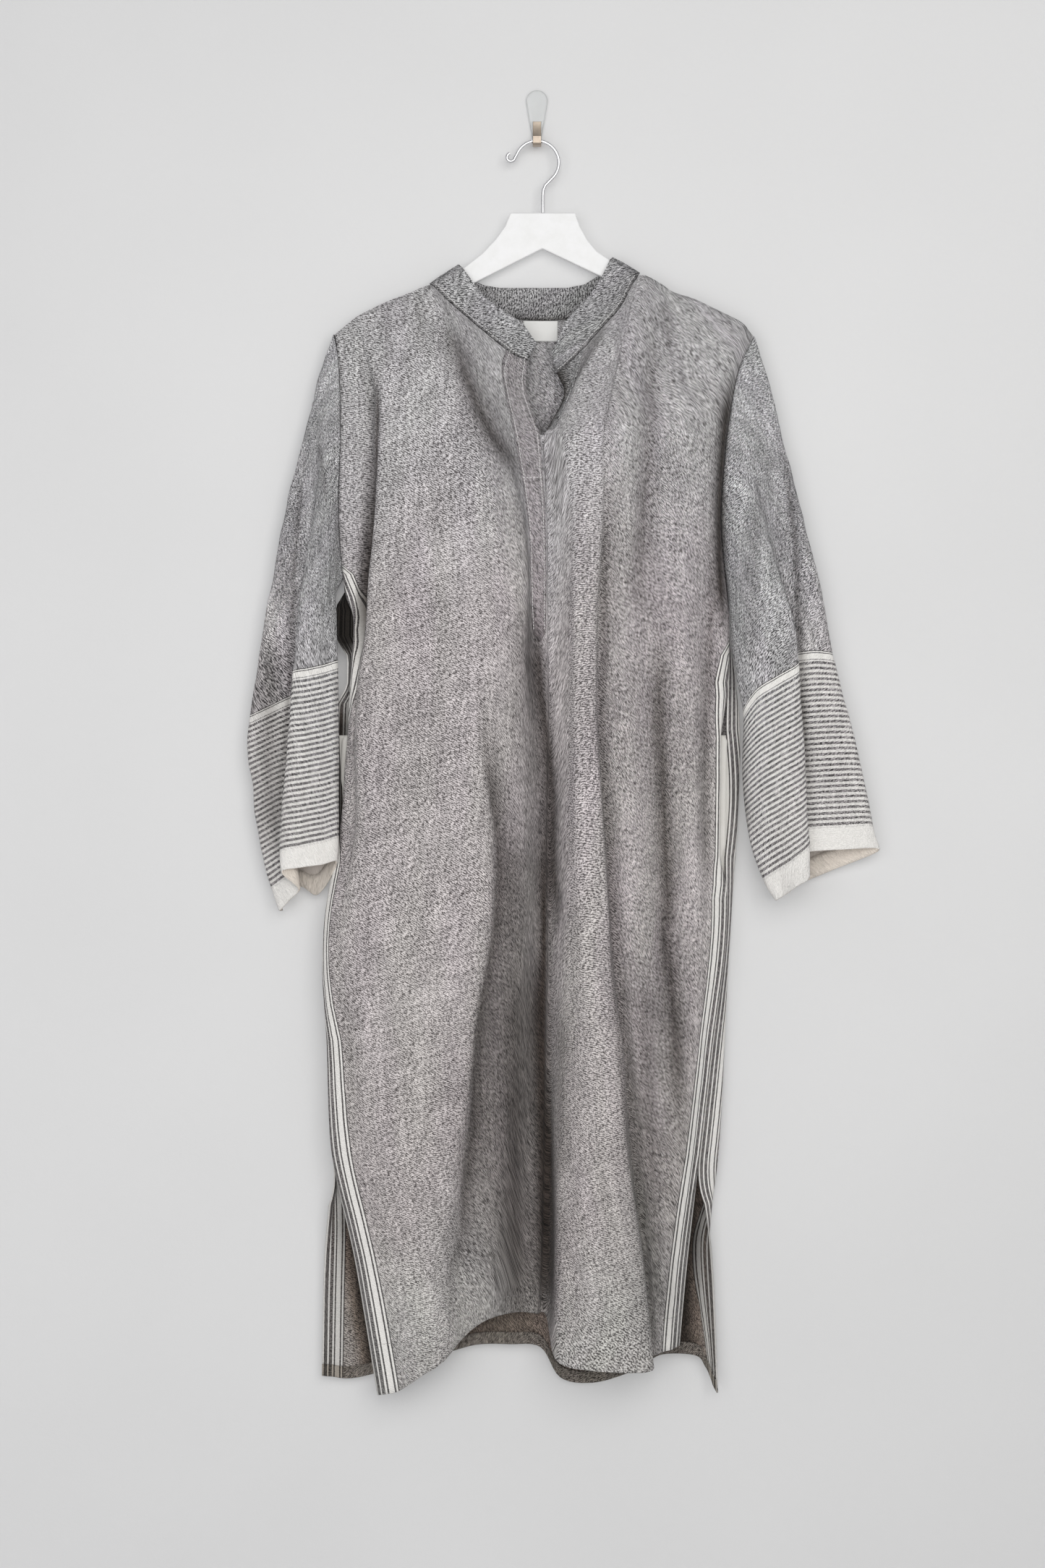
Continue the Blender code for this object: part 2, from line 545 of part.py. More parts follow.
def build_pocket(name, side, front_seam, back_seam, finish, collection):
    """A flat bag open along the side seam: two layers joined at the inner side."""
    rows = []
    for z in np.linspace(POCKET_TOP_Z, POCKET_BOTTOM_Z, POCKET_ROWS):
        front_edge, back_edge = (
            np.interp(z, seam[::-1, 1], seam[::-1, 0]) - side * POCKET_SIDE_GAPS[side]
            for seam in (front_seam, back_seam)
        )
        share = (POCKET_TOP_Z - z) / (POCKET_TOP_Z - POCKET_BOTTOM_Z)
        reach = POCKET_DEPTH * (POCKET_END_SHARE + (1 - POCKET_END_SHARE) * math.sin(math.pi * share))
        inner = front_edge - side * reach
        half = front_edge - side * reach / 2
        middle = (POCKET_OUT_FRONT + POCKET_OUT_BACK) / 2
        rows.append([
            (front_edge, z, POCKET_OUT_FRONT), (half, z, POCKET_OUT_FRONT), (inner, z, POCKET_OUT_FRONT),
            (inner - side * POCKET_FOLD, z, middle),
            (inner, z, POCKET_OUT_BACK), (half, z, POCKET_OUT_BACK), (back_edge, z, POCKET_OUT_BACK),
        ])
    return surface(name, np.array(rows), BAG_CLOTH, finish, collection, flip=side > 0)


def build_label(back, finish, collection):
    """A small woven tag on the inside of the back, just under the collar."""
    flat = back.reshape(-1, 3)
    width, height = LABEL_SIZE
    away = abs(flat[:, :2] - LABEL_CENTRE)
    near = flat[(away[:, 0] < width) & (away[:, 1] < LABEL_BESIDE)]
    out = near[:, 2].max() + CLOTH + LAY_GAP + LABEL_THICK / 2
    bpy.ops.mesh.primitive_cube_add(size=1)
    label = bpy.context.object
    label.name = "label"
    label.location = world((*LABEL_CENTRE, out))
    label.scale = (width * MM, LABEL_THICK * MM, height * MM)
    bpy.ops.object.transform_apply(location=False, rotation=False, scale=True)
    adopt(label, finish, collection)
    return label


def adopt(obj, finish, collection):
    """Gives an object made by an operator its finish and its collection."""
    obj.data.materials.append(finish)
    for other in list(obj.users_collection):
        other.objects.unlink(obj)
    collection.objects.link(obj)


def flat_outline(name, points, thick, finish, collection):
    """A flat piece of this outline, drawn in X and Y and extruded evenly both ways."""
    curve = bpy.data.curves.new(name, "CURVE")
    curve.dimensions = "2D"
    curve.fill_mode = "BOTH"
    curve.extrude = thick * MM / 2
    spline = curve.splines.new("POLY")
    spline.points.add(len(points) - 1)
    for spot, (a, b) in zip(spline.points, points):
        spot.co = (a * MM, b * MM, 0, 1)
    spline.use_cyclic_u = True
    obj = bpy.data.objects.new(name, curve)
    curve.materials.append(finish)
    collection.objects.link(obj)
    return obj


def build_hanger(finish, collection):
    body = flat_outline("hanger_body", HANGER_OUTLINE, HANGER_THICK, finish, collection)
    body.rotation_euler = (math.pi / 2, 0, 0)
    body.location = (0, -SHOULDER_OUT * MM, 0)
    return body


def arc(centre, radius, sweep, steps):
    """Points round a circle in X and Z; the angles are in degrees."""
    angles = np.radians(np.linspace(*sweep, steps + 1))
    return [(centre[0] + radius * math.cos(a), centre[1] + radius * math.sin(a)) for a in angles]


def build_wire_hook(finish, collection):
    """The wire crook: a small curled end, the round crook, and the stem into the body."""
    route = arc(EYE_CENTRE, EYE_RADIUS, EYE_SWEEP, EYE_STEPS)
    route += arc(CROOK_CENTRE, CROOK_RADIUS, CROOK_SWEEP, CROOK_STEPS)
    route += STEM
    curve = bpy.data.curves.new("hanger_hook", "CURVE")
    curve.dimensions = "3D"
    curve.bevel_depth = WIRE_RADIUS * MM
    curve.bevel_resolution = 2
    curve.use_fill_caps = True
    spline = curve.splines.new("POLY")
    spline.points.add(len(route) - 1)
    for spot, (x, z) in zip(spline.points, route):
        spot.co = (*world((x, z, SHOULDER_OUT)), 1)
    obj = bpy.data.objects.new("hanger_hook", curve)
    curve.materials.append(finish)
    collection.objects.link(obj)
    return obj


def build_wall_hook(clear_finish, metal_finish, collection):
    """The teardrop plate on the wall and the prong that the wire hangs in."""
    head = (0, PLATE_TOP_CENTRE_Z)
    foot = (0, PLATE_FOOT_CENTRE_Z)
    outline = arc(head, PLATE_TOP_RADIUS, PLATE_TOP_SWEEP, PLATE_TOP_STEPS)
    outline += arc(foot, PLATE_FOOT_RADIUS, PLATE_FOOT_SWEEP, PLATE_FOOT_STEPS)
    plate = flat_outline("wall_plate", outline, PLATE_THICK, clear_finish, collection)
    plate.rotation_euler = (math.pi / 2, 0, 0)
    plate.location = (0, -PLATE_THICK * MM / 2, 0)
    prong = flat_outline("wall_prong", PRONG_PROFILE, PRONG_WIDTH, metal_finish, collection)
    prong.rotation_euler = (math.pi / 2, 0, -math.pi / 2)
    return plate, prong


def main():
    clear_scene()
    parts = new_collection("kaftan_on_hanger")
    grey_cloth = material("grey twill", (0.23, 0.22, 0.23), 0.95)
    white_cloth = material("white cloth", (0.78, 0.76, 0.73), 0.95)
    white_body = material("white hanger", (0.82, 0.82, 0.82), 0.5)
    wire = material("wire", (0.72, 0.72, 0.73), 0.3, 1.0)
    clear_plastic = material("clear plastic", (0.85, 0.85, 0.85), 0.15)
    nickel = material("brown nickel", (0.42, 0.37, 0.32), 0.35, 1.0)

    front_lines = [fold_line(*row[1:], FRONT_TURN_OUT) for row in FRONT_FOLDS]
    back_lines = [fold_line(*row[1:], BACK_TURN_OUT) for row in BACK_FOLDS]
    back_lines[0] = follow_seam(back_lines[0], front_lines[0], ARMPIT_LEFT, 0)
    back_lines[-1] = follow_seam(back_lines[-1], front_lines[-1], ARMPIT_RIGHT, POCKET_GAPE)
    front = panel_grid(front_lines, 1)
    back = panel_grid(back_lines, -1)
    build_front(front, grey_cloth, parts)
    surface("back", back, CLOTH, grey_cloth, parts, flip=True)

    left_hole = armhole(front, back, 0, ARMPIT_LEFT, -1)
    right_hole = armhole(front, back, -1, ARMPIT_RIGHT, 1)
    build_sleeve("sleeve_left", left_hole, LEFT_RINGS, grey_cloth, parts, -1)
    build_sleeve("sleeve_right", right_hole, RIGHT_RINGS, grey_cloth, parts, 1)

    build_collar(front, back, grey_cloth, parts)
    normals = grid_normals(front)
    build_placket(front, normals, grey_cloth, parts)
    build_under_placket(front, grey_cloth, parts)
    build_pocket("pocket_left", -1, front[:, 0], back[:, 0], white_cloth, parts)
    build_pocket("pocket_right", 1, front[:, -1], back[:, -1], white_cloth, parts)
    build_label(back, white_cloth, parts)

    build_hanger(white_body, parts)
    build_wire_hook(wire, parts)
    build_wall_hook(clear_plastic, nickel, parts)


main()
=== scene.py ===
"""Dresses a long grey kaftan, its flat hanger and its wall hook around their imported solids.

Lengths in the tables are millimetres: x across, z up, and "out" the distance in front of the wall, which is -Y.
"""

import logging
import math
from collections.abc import Callable, Sequence
from dataclasses import dataclass
from enum import Enum

import bpy
import numpy as np
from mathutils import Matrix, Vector


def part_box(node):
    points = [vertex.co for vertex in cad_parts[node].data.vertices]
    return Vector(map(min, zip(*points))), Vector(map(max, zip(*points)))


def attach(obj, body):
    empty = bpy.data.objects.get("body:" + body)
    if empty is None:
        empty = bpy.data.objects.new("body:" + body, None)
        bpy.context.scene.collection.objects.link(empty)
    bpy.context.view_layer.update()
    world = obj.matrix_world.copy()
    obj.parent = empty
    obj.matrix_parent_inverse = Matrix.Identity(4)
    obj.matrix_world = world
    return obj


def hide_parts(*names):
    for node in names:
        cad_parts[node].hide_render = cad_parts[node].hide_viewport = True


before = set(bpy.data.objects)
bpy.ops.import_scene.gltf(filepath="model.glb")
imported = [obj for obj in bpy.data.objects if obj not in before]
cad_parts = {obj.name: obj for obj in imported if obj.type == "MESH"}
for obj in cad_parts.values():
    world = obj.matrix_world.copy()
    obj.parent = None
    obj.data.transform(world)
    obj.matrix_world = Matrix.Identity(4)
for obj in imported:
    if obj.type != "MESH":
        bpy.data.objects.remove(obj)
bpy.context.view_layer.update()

LOG = logging.getLogger("kaftan")
MM = 0.001
BODY = "root"
Point = tuple[float, float, float]
Grid = np.ndarray
Socket = bpy.types.NodeSocket
Node = bpy.types.Node
NodeTree = bpy.types.NodeTree
Material = bpy.types.Material
Piece = bpy.types.Object


class Side(Enum):
    """The two sides of the garment, as seen from the front."""

    LEFT = -1
    RIGHT = 1


# Weave and stripes
TWILL_SLANT = math.radians(40)
TWILL_PITCH = 1.75
BORDER_STRIPES = (
    (1.7, 1), (5.6, -0.8), (7.5, 1), (11.2, -0.8), (13.1, 1), (14.6, -1), (19.6, 1), (21.2, -1), (23.1, 1),
    (24.3, -1), (26, 0),
)
CUFF_BAND = 25
STRIPED_TO = 217
STRIPE_PITCH = 6.0
STRIPE_WIDTH = 3.0
STRIPE_FIELD = 0.5
STRIPE_WHITE = 0.8
WHITE_RINGS = ((213.8, 220.2), (221.2, 222.5))
DARK_RINGS = ((220.2, 221.2), (222.5, 223.5))
# Farther from a stripe than any cloth lies
FAR = 900.0

# How far the left and the right seam lie inside the woven edge: height, distance
FRONT_CUT_IN = (
    ((-480, 60), (-520, 10), (-545, 0), (-600, 0), (-650, 8), (-705, 24), (-800, 22), (-843, 12), (-930, 9),
     (-1000, 5), (-1040, 0), (-1500, 0)),
    ((-500, 60), (-585, 26), (-611, 8), (-640, 2), (-700, 9), (-835, 9), (-880, 0), (-1500, 0)),
)
BACK_CUT_IN = (
    ((-440, 60), (-525, 20), (-560, 0), (-1500, 0)),
    ((-470, 60), (-557, 20), (-590, 0), (-1500, 0)),
)

# How far the left seams stand in below the armpit: height, distance
FRONT_SWING = (
    (-527, 0), (-545, 1), (-565, 8), (-583, 12), (-607, 5), (-649, 2), (-700, 0), (-740, -4),
    (-807, -7), (-860, -5), (-927, 0),
)
BACK_SWING = (
    (-540, 0), (-556, -11), (-590, -13), (-612, 0), (-645, -1), (-665, -13), (-703, -14), (-740, -13),
    (-807, -11), (-860, -6), (-927, 0),
)
RIGHT_FRONT_SWING = ((-655, 0), (-703, -8), (-830, -8), (-870, 0))
# How far the bags look out of the side seams: height, distance
BAG_PEEPS = {
    -1: ((-690, 0), (-705, 11), (-750, 9), (-790, 0)),
    1: ((-690, 0), (-706, 10), (-825, 9), (-845, 0)),
}
# How much wider the left border gets: height, share
LEFT_BORDER_SPREAD = ((-880, 1), (-1000, 1.1), (-1150, 1.35), (-1500, 1.4))

# Tint of the cloth from the shoulder down to the hem, darker and warmer towards the hem: share of the length, tint
LENGTH_TINTS = (
    (0.0, (1.0, 1.0, 1.01)), (0.14, (1.0, 0.985, 0.995)), (0.25, (1.0, 0.95, 0.95)),
    (0.70, (0.97, 0.92, 0.90)), (0.78, (0.945, 0.935, 0.90)), (1.0, (0.90, 0.885, 0.84)),
)
TINTED_LENGTH = 1.45

# How finely the cloth is made here, and how finely its solids were
FOLD_STEPS = 6
YOKE_STEPS = 9
LENGTH_STEPS = 16
RING_STEPS = 9
SLEEVE_STEPS = 16
COARSE_YOKE = 3
COARSE_LENGTH = 2

# Cloth and seams
CLOTH = 1.5
STRIP_CLOTH = 1.0
COLLAR_CLOTH = 1.8
BAG_CLOTH = 1.0
SEAM_GAP = 0.45
SEAM_DEPTH = 0.9
LAY_GAP = 0.35

# Stitches: where the rows lie, and how many points each row's path has
STITCHED_ACROSS_Z = -417
HEM_STITCH = 18
ROW_INSET = 0.12
THREAD_LIFT = 0.12
STRIP_POINTS = 120
CROSS_POINTS = 8
COLLAR_POINTS = 160
HEM_POINTS = 260

# Flat sizes that the pieces were cut to, in metres
FRONT_CUT = (0.50, 1.26)
BACK_CUT = (0.52, 1.26)
SLEEVE_CUT = (0.58, 0.60)
COLLAR_CUT = (0.50, 0.05)
PLACKET_CUT = (0.024, 0.31)
UNDER_PLACKET_CUT = (0.010, 0.09)
POCKET_CUT = (0.24, 0.205)
LABEL_CUT = (0.039, 0.023)

# Heights at which the fold tables below are read, from the chest to above the hem
STATIONS = (-367, -463, -567, -687, -807, -927, -1047, -1167, -1287)
ARMPIT_LEFT = -525
ARMPIT_RIGHT = -557
SLIT_TOP_STATION = 7

# Shoulder: the cloth turns over the hanger's upper edge
SHOULDER_OUT = 14
TURN_DROP = 0.7
NECK_TURN = 0.3
FRONT_TURN_OUT = 19.8
BACK_TURN_OUT = 8.4
TIP_GAP = 1.6
TIP_FADE = 12

# Side seams: how the wall leaves the seam, in depth and inward
SIDE_ROLL = 4
SIDE_INSET = 0.2
SIDE_SHARE = 0.25

# Fold lines of the front, from left to right.
# name, top (x, z, out), yoke (x, z, out), x at each station, out at each station, hem (x, z, out)
FRONT_FOLDS = (
    ("side_seam_a", (-226, -250, 14.7), (-221, -298, 20), (-220, -222, -214, -212, -214, -239, -235, -229, -203),
     (20, 20, 20, 20, 22, 24, 26, 28, 32), (-178, -1435, 34)),
    ("side_turn_a", (-214, -240, 14.7), (-204, -299, 24), (-202, -202, -205, -207, -209, -233, -229, -220, -194),
     (26, 26, 28, 30, 34, 36, 38, 40, 42), (-169, -1431, 44)),
    ("side_valley_a", (-205, -233, 14.7), (-187, -299, 25), (-188, -188, -196, -203, -204, -222, -215, -205, -180),
     (27, 27, 28, 32, 38, 44, 46, 48, 50), (-156, -1427, 50)),
    ("side_fold_a", (-199, -229, 14.7), (-182, -300, 33), (-181, -180, -187, -195, -197, -204, -195, -183, -161),
     (40, 45, 46, 48, 52, 54, 56, 57, 58), (-141, -1416, 58)),
    ("flat_outer", (-174, -216, 14.7), (-159, -301, 36), (-153, -149, -152, -157, -165, -167, -165, -159, -141),
     (46, 52, 56, 58, 62, 64, 66, 66, 66), (-125, -1404, 64)),
    ("flat_middle", (-149, -206, 14.7), (-127, -297, 36), (-110, -104, -104, -107, -113, -117, -121, -123, -117),
     (47, 54, 58, 60, 64, 67, 68, 68, 67), (-112, -1397, 64)),
    ("flat_inner", (-124, -196, 14.7), (-92, -284, 35), (-70, -54, -54, -62, -64, -66, -77, -93, -102),
     (46, 52, 57, 62, 66, 68, 68, 66, 62), (-100, -1388, 58)),
    ("slope", (-115, -198, 20.5), (-82, -276, 31), (-53, -32, -26, -38, -42, -42, -55, -74, -84),
     (41, 44, 47, 52, 56, 56, 50, 46, 43), (-82, -1370, 40)),
    ("slope_valley", (-95, -218, 22), (-70, -287, 29), (-42, -16, -11, -16, -16, -16, -26, -38, -46),
     (36, 38, 38, 40, 40, 38, 34, 32, 30), (-57, -1353, 29)),
    ("placket_outer", (-35, -269, 27), (-39, -298, 31), (-25, -10, -6, -1, 1, -1, -3, -10, -16),
     (40, 40, 36, 34, 32, 29, 27, 26, 25), (-24, -1345, 25)),
    ("opening_a", (-11, -282, 29), (-12, -318, 34), (3, 9, 10, 11, 10, 11, 9, 7, 4),
     (42, 43, 39, 35, 30, 27, 25, 24, 24), (0, -1347, 24)),
    ("opening_b", (22, -295, 28), (30, -323, 32), (8, 14, 15, 16, 15, 16, 16, 13, 10),
     (42, 43, 40, 37, 32, 29, 27, 26, 26), (8, -1349, 26)),
    ("fold_edge", (80, -237, 26), (51, -294, 38), (27, 34, 34, 34, 33, 34, 34, 26, 22),
     (46, 48, 48, 49, 52, 55, 56, 54, 54), (20, -1390, 54)),
    ("crest_one", (96, -217, 24), (77, -290, 44), (44, 44, 43, 44, 46, 52, 56, 58, 63),
     (52, 56, 60, 66, 72, 76, 79, 80, 80), (57, -1396, 78)),
    ("crest_one_edge", (109, -192, 20.5), (87, -290, 42), (69, 69, 64, 63, 71, 79, 93, 99, 114),
     (48, 52, 56, 60, 66, 70, 72, 72, 70), (123, -1400, 68)),
    ("crease_one", (119, -184, 14.7), (92, -289, 38), (77, 78, 71, 71, 79, 87, 96, 108, 119),
     (41, 43, 45, 47, 48, 48, 46, 44, 42), (127, -1392, 40)),
    ("crest_two", (138, -193, 14.7), (111, -293, 40), (104, 104, 97, 100, 107, 111, 115, 124, 128),
     (47, 49, 51, 53, 55, 55, 51, 46, 44), (135, -1387, 41)),
    ("valley_two", (153, -203, 14.7), (130, -300, 33), (129, 125, 129, 139, 143, 148, 153, 151, 139),
     (35, 35, 34, 32, 30, 30, 32, 36, 40), (143, -1385, 38)),
    ("crest_three", (177, -211, 14.7), (163, -301, 38), (156, 156, 161, 169, 170, 175, 171, 163, 147),
     (43, 45, 46, 46, 46, 44, 42, 40, 40), (149, -1384, 37)),
    ("crease_three", (209, -226, 14.7), (200, -300, 30), (190, 188, 188, 190, 190, 191, 182, 171, 155),
     (33, 33, 32, 32, 34, 36, 38, 38, 38), (154, -1382, 35)),
    ("side_turn_b", (230, -237, 14.7), (216, -299, 26), (202, 198, 205, 204, 203, 202, 189, 176, 161),
     (28, 28, 30, 30, 30, 30, 32, 33, 34), (156, -1381, 34)),
    ("side_seam_b", (242, -252, 14.7), (224, -298, 20), (212, 206, 215, 213, 212, 211, 196, 182, 168),
     (20, 20, 20, 20, 20, 22, 24, 26, 28), (159, -1381, 30)),
)
OPENING_A = 10
OPENING_B = 11
FIRST_NECK_LINE = 7
LAST_NECK_LINE = 14

# Fold lines of the back, in the same order; it lies close to the wall.
BACK_FOLDS = (
    ("side_seam_a", (-226, -250, 13.3), (-221, -298, 8), (-220, -222, -214, -212, -214, -239, -235, -229, -239),
     (8, 8, 19, 19, 21, 23, 25, 27, 12), (-242, -1419, 10)),
    ("side_turn_a", (-214, -240, 13.3), (-210, -299, 7), (-209, -211, -208, -206, -208, -232, -229, -224, -230),
     (7, 7, 8, 8, 9, 9, 9, 10, 9), (-232, -1420, 9)),
    ("edge_a", (-190, -224, 13.3), (-185, -300, 7), (-180, -180, -180, -182, -190, -198, -196, -195, -200),
     (6, 6, 6, 6, 7, 8, 8, 9, 8), (-200, -1421, 8)),
    ("wave_one", (-149, -206, 13.3), (-130, -300, 6), (-125, -125, -125, -125, -125, -130, -130, -130, -125),
     (7, 8, 9, 10, 10, 11, 12, 12, 12), (-122, -1398, 12)),
    ("corner_a", (-124, -196, 13.3), (-105, -300, 6), (-98, -98, -98, -98, -97, -98, -99, -100, -97),
     (6, 7, 7, 8, 8, 9, 9, 10, 10), (-95, -1391, 10)),
    ("wave_two", (-118, -198, 8), (-80, -300, 6), (-70, -70, -70, -68, -66, -66, -68, -70, -68),
     (6, 6, 6, 6, 7, 7, 7, 8, 9), (-66, -1384, 9)),
    ("neck_one", (-76, -223, 6.2), (-45, -300, 6), (-38, -36, -34, -33, -32, -32, -33, -34, -33),
     (6, 7, 7, 8, 9, 9, 10, 11, 12), (-30, -1383, 12)),
    ("neck_two", (-20, -232, 5.6), (-4, -300, 5.5), (-2, 0, 0, 2, 3, 3, 3, 4, 4), (6, 6, 7, 8, 9, 10, 11, 12, 13),
     (4, -1386, 13)),
    ("neck_three", (32, -232, 5.6), (32, -300, 5.5), (30, 28, 26, 24, 23, 22, 22, 22, 24),
     (6, 6, 6, 7, 7, 8, 9, 10, 12), (26, -1420, 13)),
    ("neck_four", (76, -223, 6), (62, -300, 5.5), (60, 60, 58, 58, 58, 58, 60, 62, 62),
     (5.5, 6, 6, 7, 7, 8, 9, 10, 12), (62, -1426, 13)),
    ("wave_three", (111, -189, 8), (95, -300, 6), (94, 95, 96, 97, 98, 100, 102, 104, 104),
     (6, 7, 8, 9, 10, 10, 11, 11, 10), (103, -1416, 9)),
    ("corner_b", (119, -184, 13.3), (115, -300, 6), (112, 112, 114, 117, 119, 121, 122, 123, 123),
     (6, 6.5, 7, 7.5, 8, 9, 10, 10, 9.5), (123, -1405, 9)),
    ("wave_four", (153, -203, 13.3), (135, -300, 7), (130, 130, 132, 138, 140, 142, 142, 142, 142),
     (6, 6, 6, 6, 7, 8, 9, 9, 9), (142, -1395, 9)),
    ("edge_b", (195, -219, 13.3), (180, -300, 7), (175, 175, 178, 184, 184, 182, 180, 178, 176),
     (6, 6, 6, 7, 8, 8, 8, 8, 9), (178, -1396, 10)),
    ("side_back_b", (215, -229, 13.3), (200, -300, 7), (195, 192, 206, 217, 214, 206, 200, 192, 184),
     (6.5, 6.5, 6, 5, 5, 5.5, 6, 6.5, 8), (189, -1408, 11)),
    ("side_turn_b", (230, -237, 13.3), (213, -299, 7.5), (203, 199, 213, 228, 225, 217, 211, 204, 192),
     (7, 7, 9, 10, 10, 10, 11, 12, 10), (197, -1424, 13)),
    ("side_seam_b", (242, -252, 13.3), (224, -298, 8), (212, 206, 215, 213, 212, 211, 196, 182, 197),
     (8, 8, 19, 19, 19, 21, 23, 25, 14), (203, -1436, 18)),
)
BACK_NECK_LINES = (5, 10)

# Sleeve rings from the shoulder to the cuff. Each ring runs from the underarm
# seam along the front layer to its outer fold, behind it to a hidden crease,
# out again to the sleeve's outer edge, and back along the wall.
# name, underarm, front_one, front_two, fold, crease, outer_strip, outer_edge, rear_one, rear_two
LEFT_RINGS = (
    ("upper", (-225, -543, 22), (-226, -497, 30), (-231, -452, 34), (-238, -412, 34), (-241, -384, 31),
     (-244, -352, 27), (-247, -309, 16), (-239, -377, 8), (-231, -475, 8)),
    ("above_elbow", (-224, -566, 26), (-231, -536, 36), (-240, -506, 40), (-251, -480, 41), (-247, -462, 34),
     (-257, -428, 27), (-268, -391, 18), (-254, -450, 8), (-238, -515, 9)),
    ("elbow", (-223, -594, 30), (-233, -580, 41), (-246, -565, 45), (-264, -551, 44), (-250, -544, 33),
     (-274, -517, 27), (-288, -480, 20), (-266, -523, 8), (-242, -568, 10)),
    ("stripe", (-222, -623, 32), (-237, -628, 44), (-254, -632, 48), (-271, -636, 46), (-256, -651, 34),
     (-291, -669, 28), (-322, -683, 20), (-291, -666, 8), (-250, -637, 10)),
    ("forearm", (-221, -693, 32), (-237, -698, 44), (-256, -704, 48), (-277, -711, 46), (-261, -729, 34),
     (-294, -742, 28), (-319, -756, 20), (-291, -737, 8), (-250, -711, 10)),
    ("wrist", (-221, -767, 32), (-237, -771, 44), (-260, -775, 48), (-283, -782, 46), (-268, -801, 34),
     (-290, -814, 28), (-310, -826, 20), (-288, -808, 8), (-250, -784, 10)),
    ("band", (-221, -816, 32), (-238, -820, 44), (-262, -825, 48), (-286, -832, 46), (-269, -852, 34),
     (-284, -863, 28), (-297, -872, 20), (-278, -853, 8), (-247, -841, 10)),
    ("cuff", (-222, -842, 32), (-240, -844, 44), (-264, -847, 48), (-284, -852, 46), (-267, -871, 34),
     (-278, -885, 28), (-289, -896, 20), (-268, -870, 10), (-245, -878, 12)),
)
RIGHT_RINGS = (
    ("upper", (216, -578, 24), (218, -528, 36), (226, -482, 38), (240, -437, 34), (245, -408, 28),
     (252, -368, 26), (261, -310, 18), (247, -393, 8), (225, -507, 8)),
    ("above_elbow", (217, -602, 28), (224, -575, 42), (237, -543, 44), (260, -506, 38), (263, -485, 30),
     (271, -449, 28), (282, -395, 20), (267, -458, 8), (234, -556, 8)),
    ("elbow", (223, -638, 30), (231, -619, 46), (252, -598, 50), (282, -572, 47), (276, -556, 34),
     (295, -538, 31), (316, -529, 20), (287, -548, 8), (247, -597, 8)),
    ("stripe", (230, -679, 32), (242, -657, 48), (266, -641, 53), (290, -626, 50), (281, -617, 36),
     (308, -612, 34), (333, -614, 20), (304, -621, 8), (259, -654, 8)),
    ("forearm", (229, -747, 32), (245, -731, 48), (268, -717, 54), (294, -700, 50), (283, -689, 36),
     (320, -685, 34), (351, -685, 20), (308, -694, 8), (263, -723, 8)),
    ("wrist", (237, -816, 34), (252, -802, 50), (274, -788, 54), (298, -771, 50), (286, -759, 36),
     (332, -755, 34), (367, -756, 20), (316, -772, 8), (275, -800, 8)),
    ("band", (252, -862, 36), (267, -851, 50), (283, -840, 54), (301, -823, 50), (289, -808, 36),
     (340, -803, 34), (377, -804, 20), (324, -825, 8), (283, -845, 8)),
    ("cuff", (265, -884, 38), (275, -876, 50), (286, -868, 54), (302, -856, 50), (290, -833, 36),
     (344, -827, 34), (384, -828, 20), (332, -851, 8), (295, -867, 8)),
)
FRONT_RING_SPANS = 6
REAR_RING_SPANS = 3

# Collar: its upper edge, from one front end over the shoulder and the back to the other.
COLLAR_TOP = (
    (0, -264, 31), (-16, -240, 29), (-36, -227, 28), (-58, -211, 26), (-72, -193, 24), (-83, -177, 21.5),
    (-88, -171, 14), (-86, -174, 8.2), (-76, -186, 6.6), (-60, -193, 6), (-42, -196, 5.5), (-16, -196, 5.5),
    (34, -196, 5.5), (54, -192, 6), (70, -182, 6.6), (84, -165, 8.2), (85, -163, 14), (82, -167, 21.5),
    (72, -188, 24), (60, -207, 26), (45, -224, 27), (31, -238, 28), (25, -254, 29), (16, -272, 29),
)
COLLAR_CORNERS = (6, 16)
COLLAR_FRONT_COLUMNS = 12
COLLAR_BACK_COLUMNS = 15
NECK_CORNER_A = (-121, -193, 14)
NECK_CORNER_B = (116, -181, 14)

# Pocket bags in the side seams
POCKET_TOP_Z = -700
POCKET_BOTTOM_Z = -905
POCKET_DEPTH = 120
POCKET_END_SHARE = 0.7
POCKET_FOLD = 1.5
POCKET_OUT_FRONT = 19
POCKET_OUT_BACK = 14.5
POCKET_SIDE_GAPS = {-1: 5.1, 1: 1.7}
POCKET_MOUTH = (-693, -838)
POCKET_GAPE = 5
POCKET_GAPE_BACK = 4

# Woven label under the back collar
LABEL_SIZE = (39, 23)
LABEL_CENTRE = (4, -245)
LABEL_THICK = 0.6

# Hanger: flat body, wire hook
HANGER_THICK = 7
HANGER_OUTLINE = (
    (-30, -114), (43, -114), (48, -129), (57, -145), (67, -157), (84, -168.5), (98, -182.5), (112, -192),
    (120, -193), (138, -196.6), (153, -206.4), (177, -214.4), (209, -229.4), (224, -238.4), (230, -247),
    (224, -257), (189, -245), (149, -227), (104, -201), (71, -185), (6, -154), (-69, -192), (-99, -207),
    (-136, -225), (-172, -241), (-203, -256), (-211, -251), (-211, -242.4), (-197, -231.6), (-174, -219.4),
    (-149, -209.4), (-119, -200.6), (-80, -174), (-61, -159), (-46, -143), (-36, -129),
)
WIRE_RADIUS = 2
CROOK_CENTRE = (0, -57)
CROOK_RADIUS = 24.5
EYE_CENTRE = (-29.3, -51)
EYE_RADIUS = 4.4
EYE_SWEEP = (110, 350)
EYE_STEPS = 9
CROOK_SWEEP = (158, -48)
CROOK_STEPS = 18
STEM = ((9.2, -82.5), (6.9, -88), (6.4, -94), (6.4, -113.6))

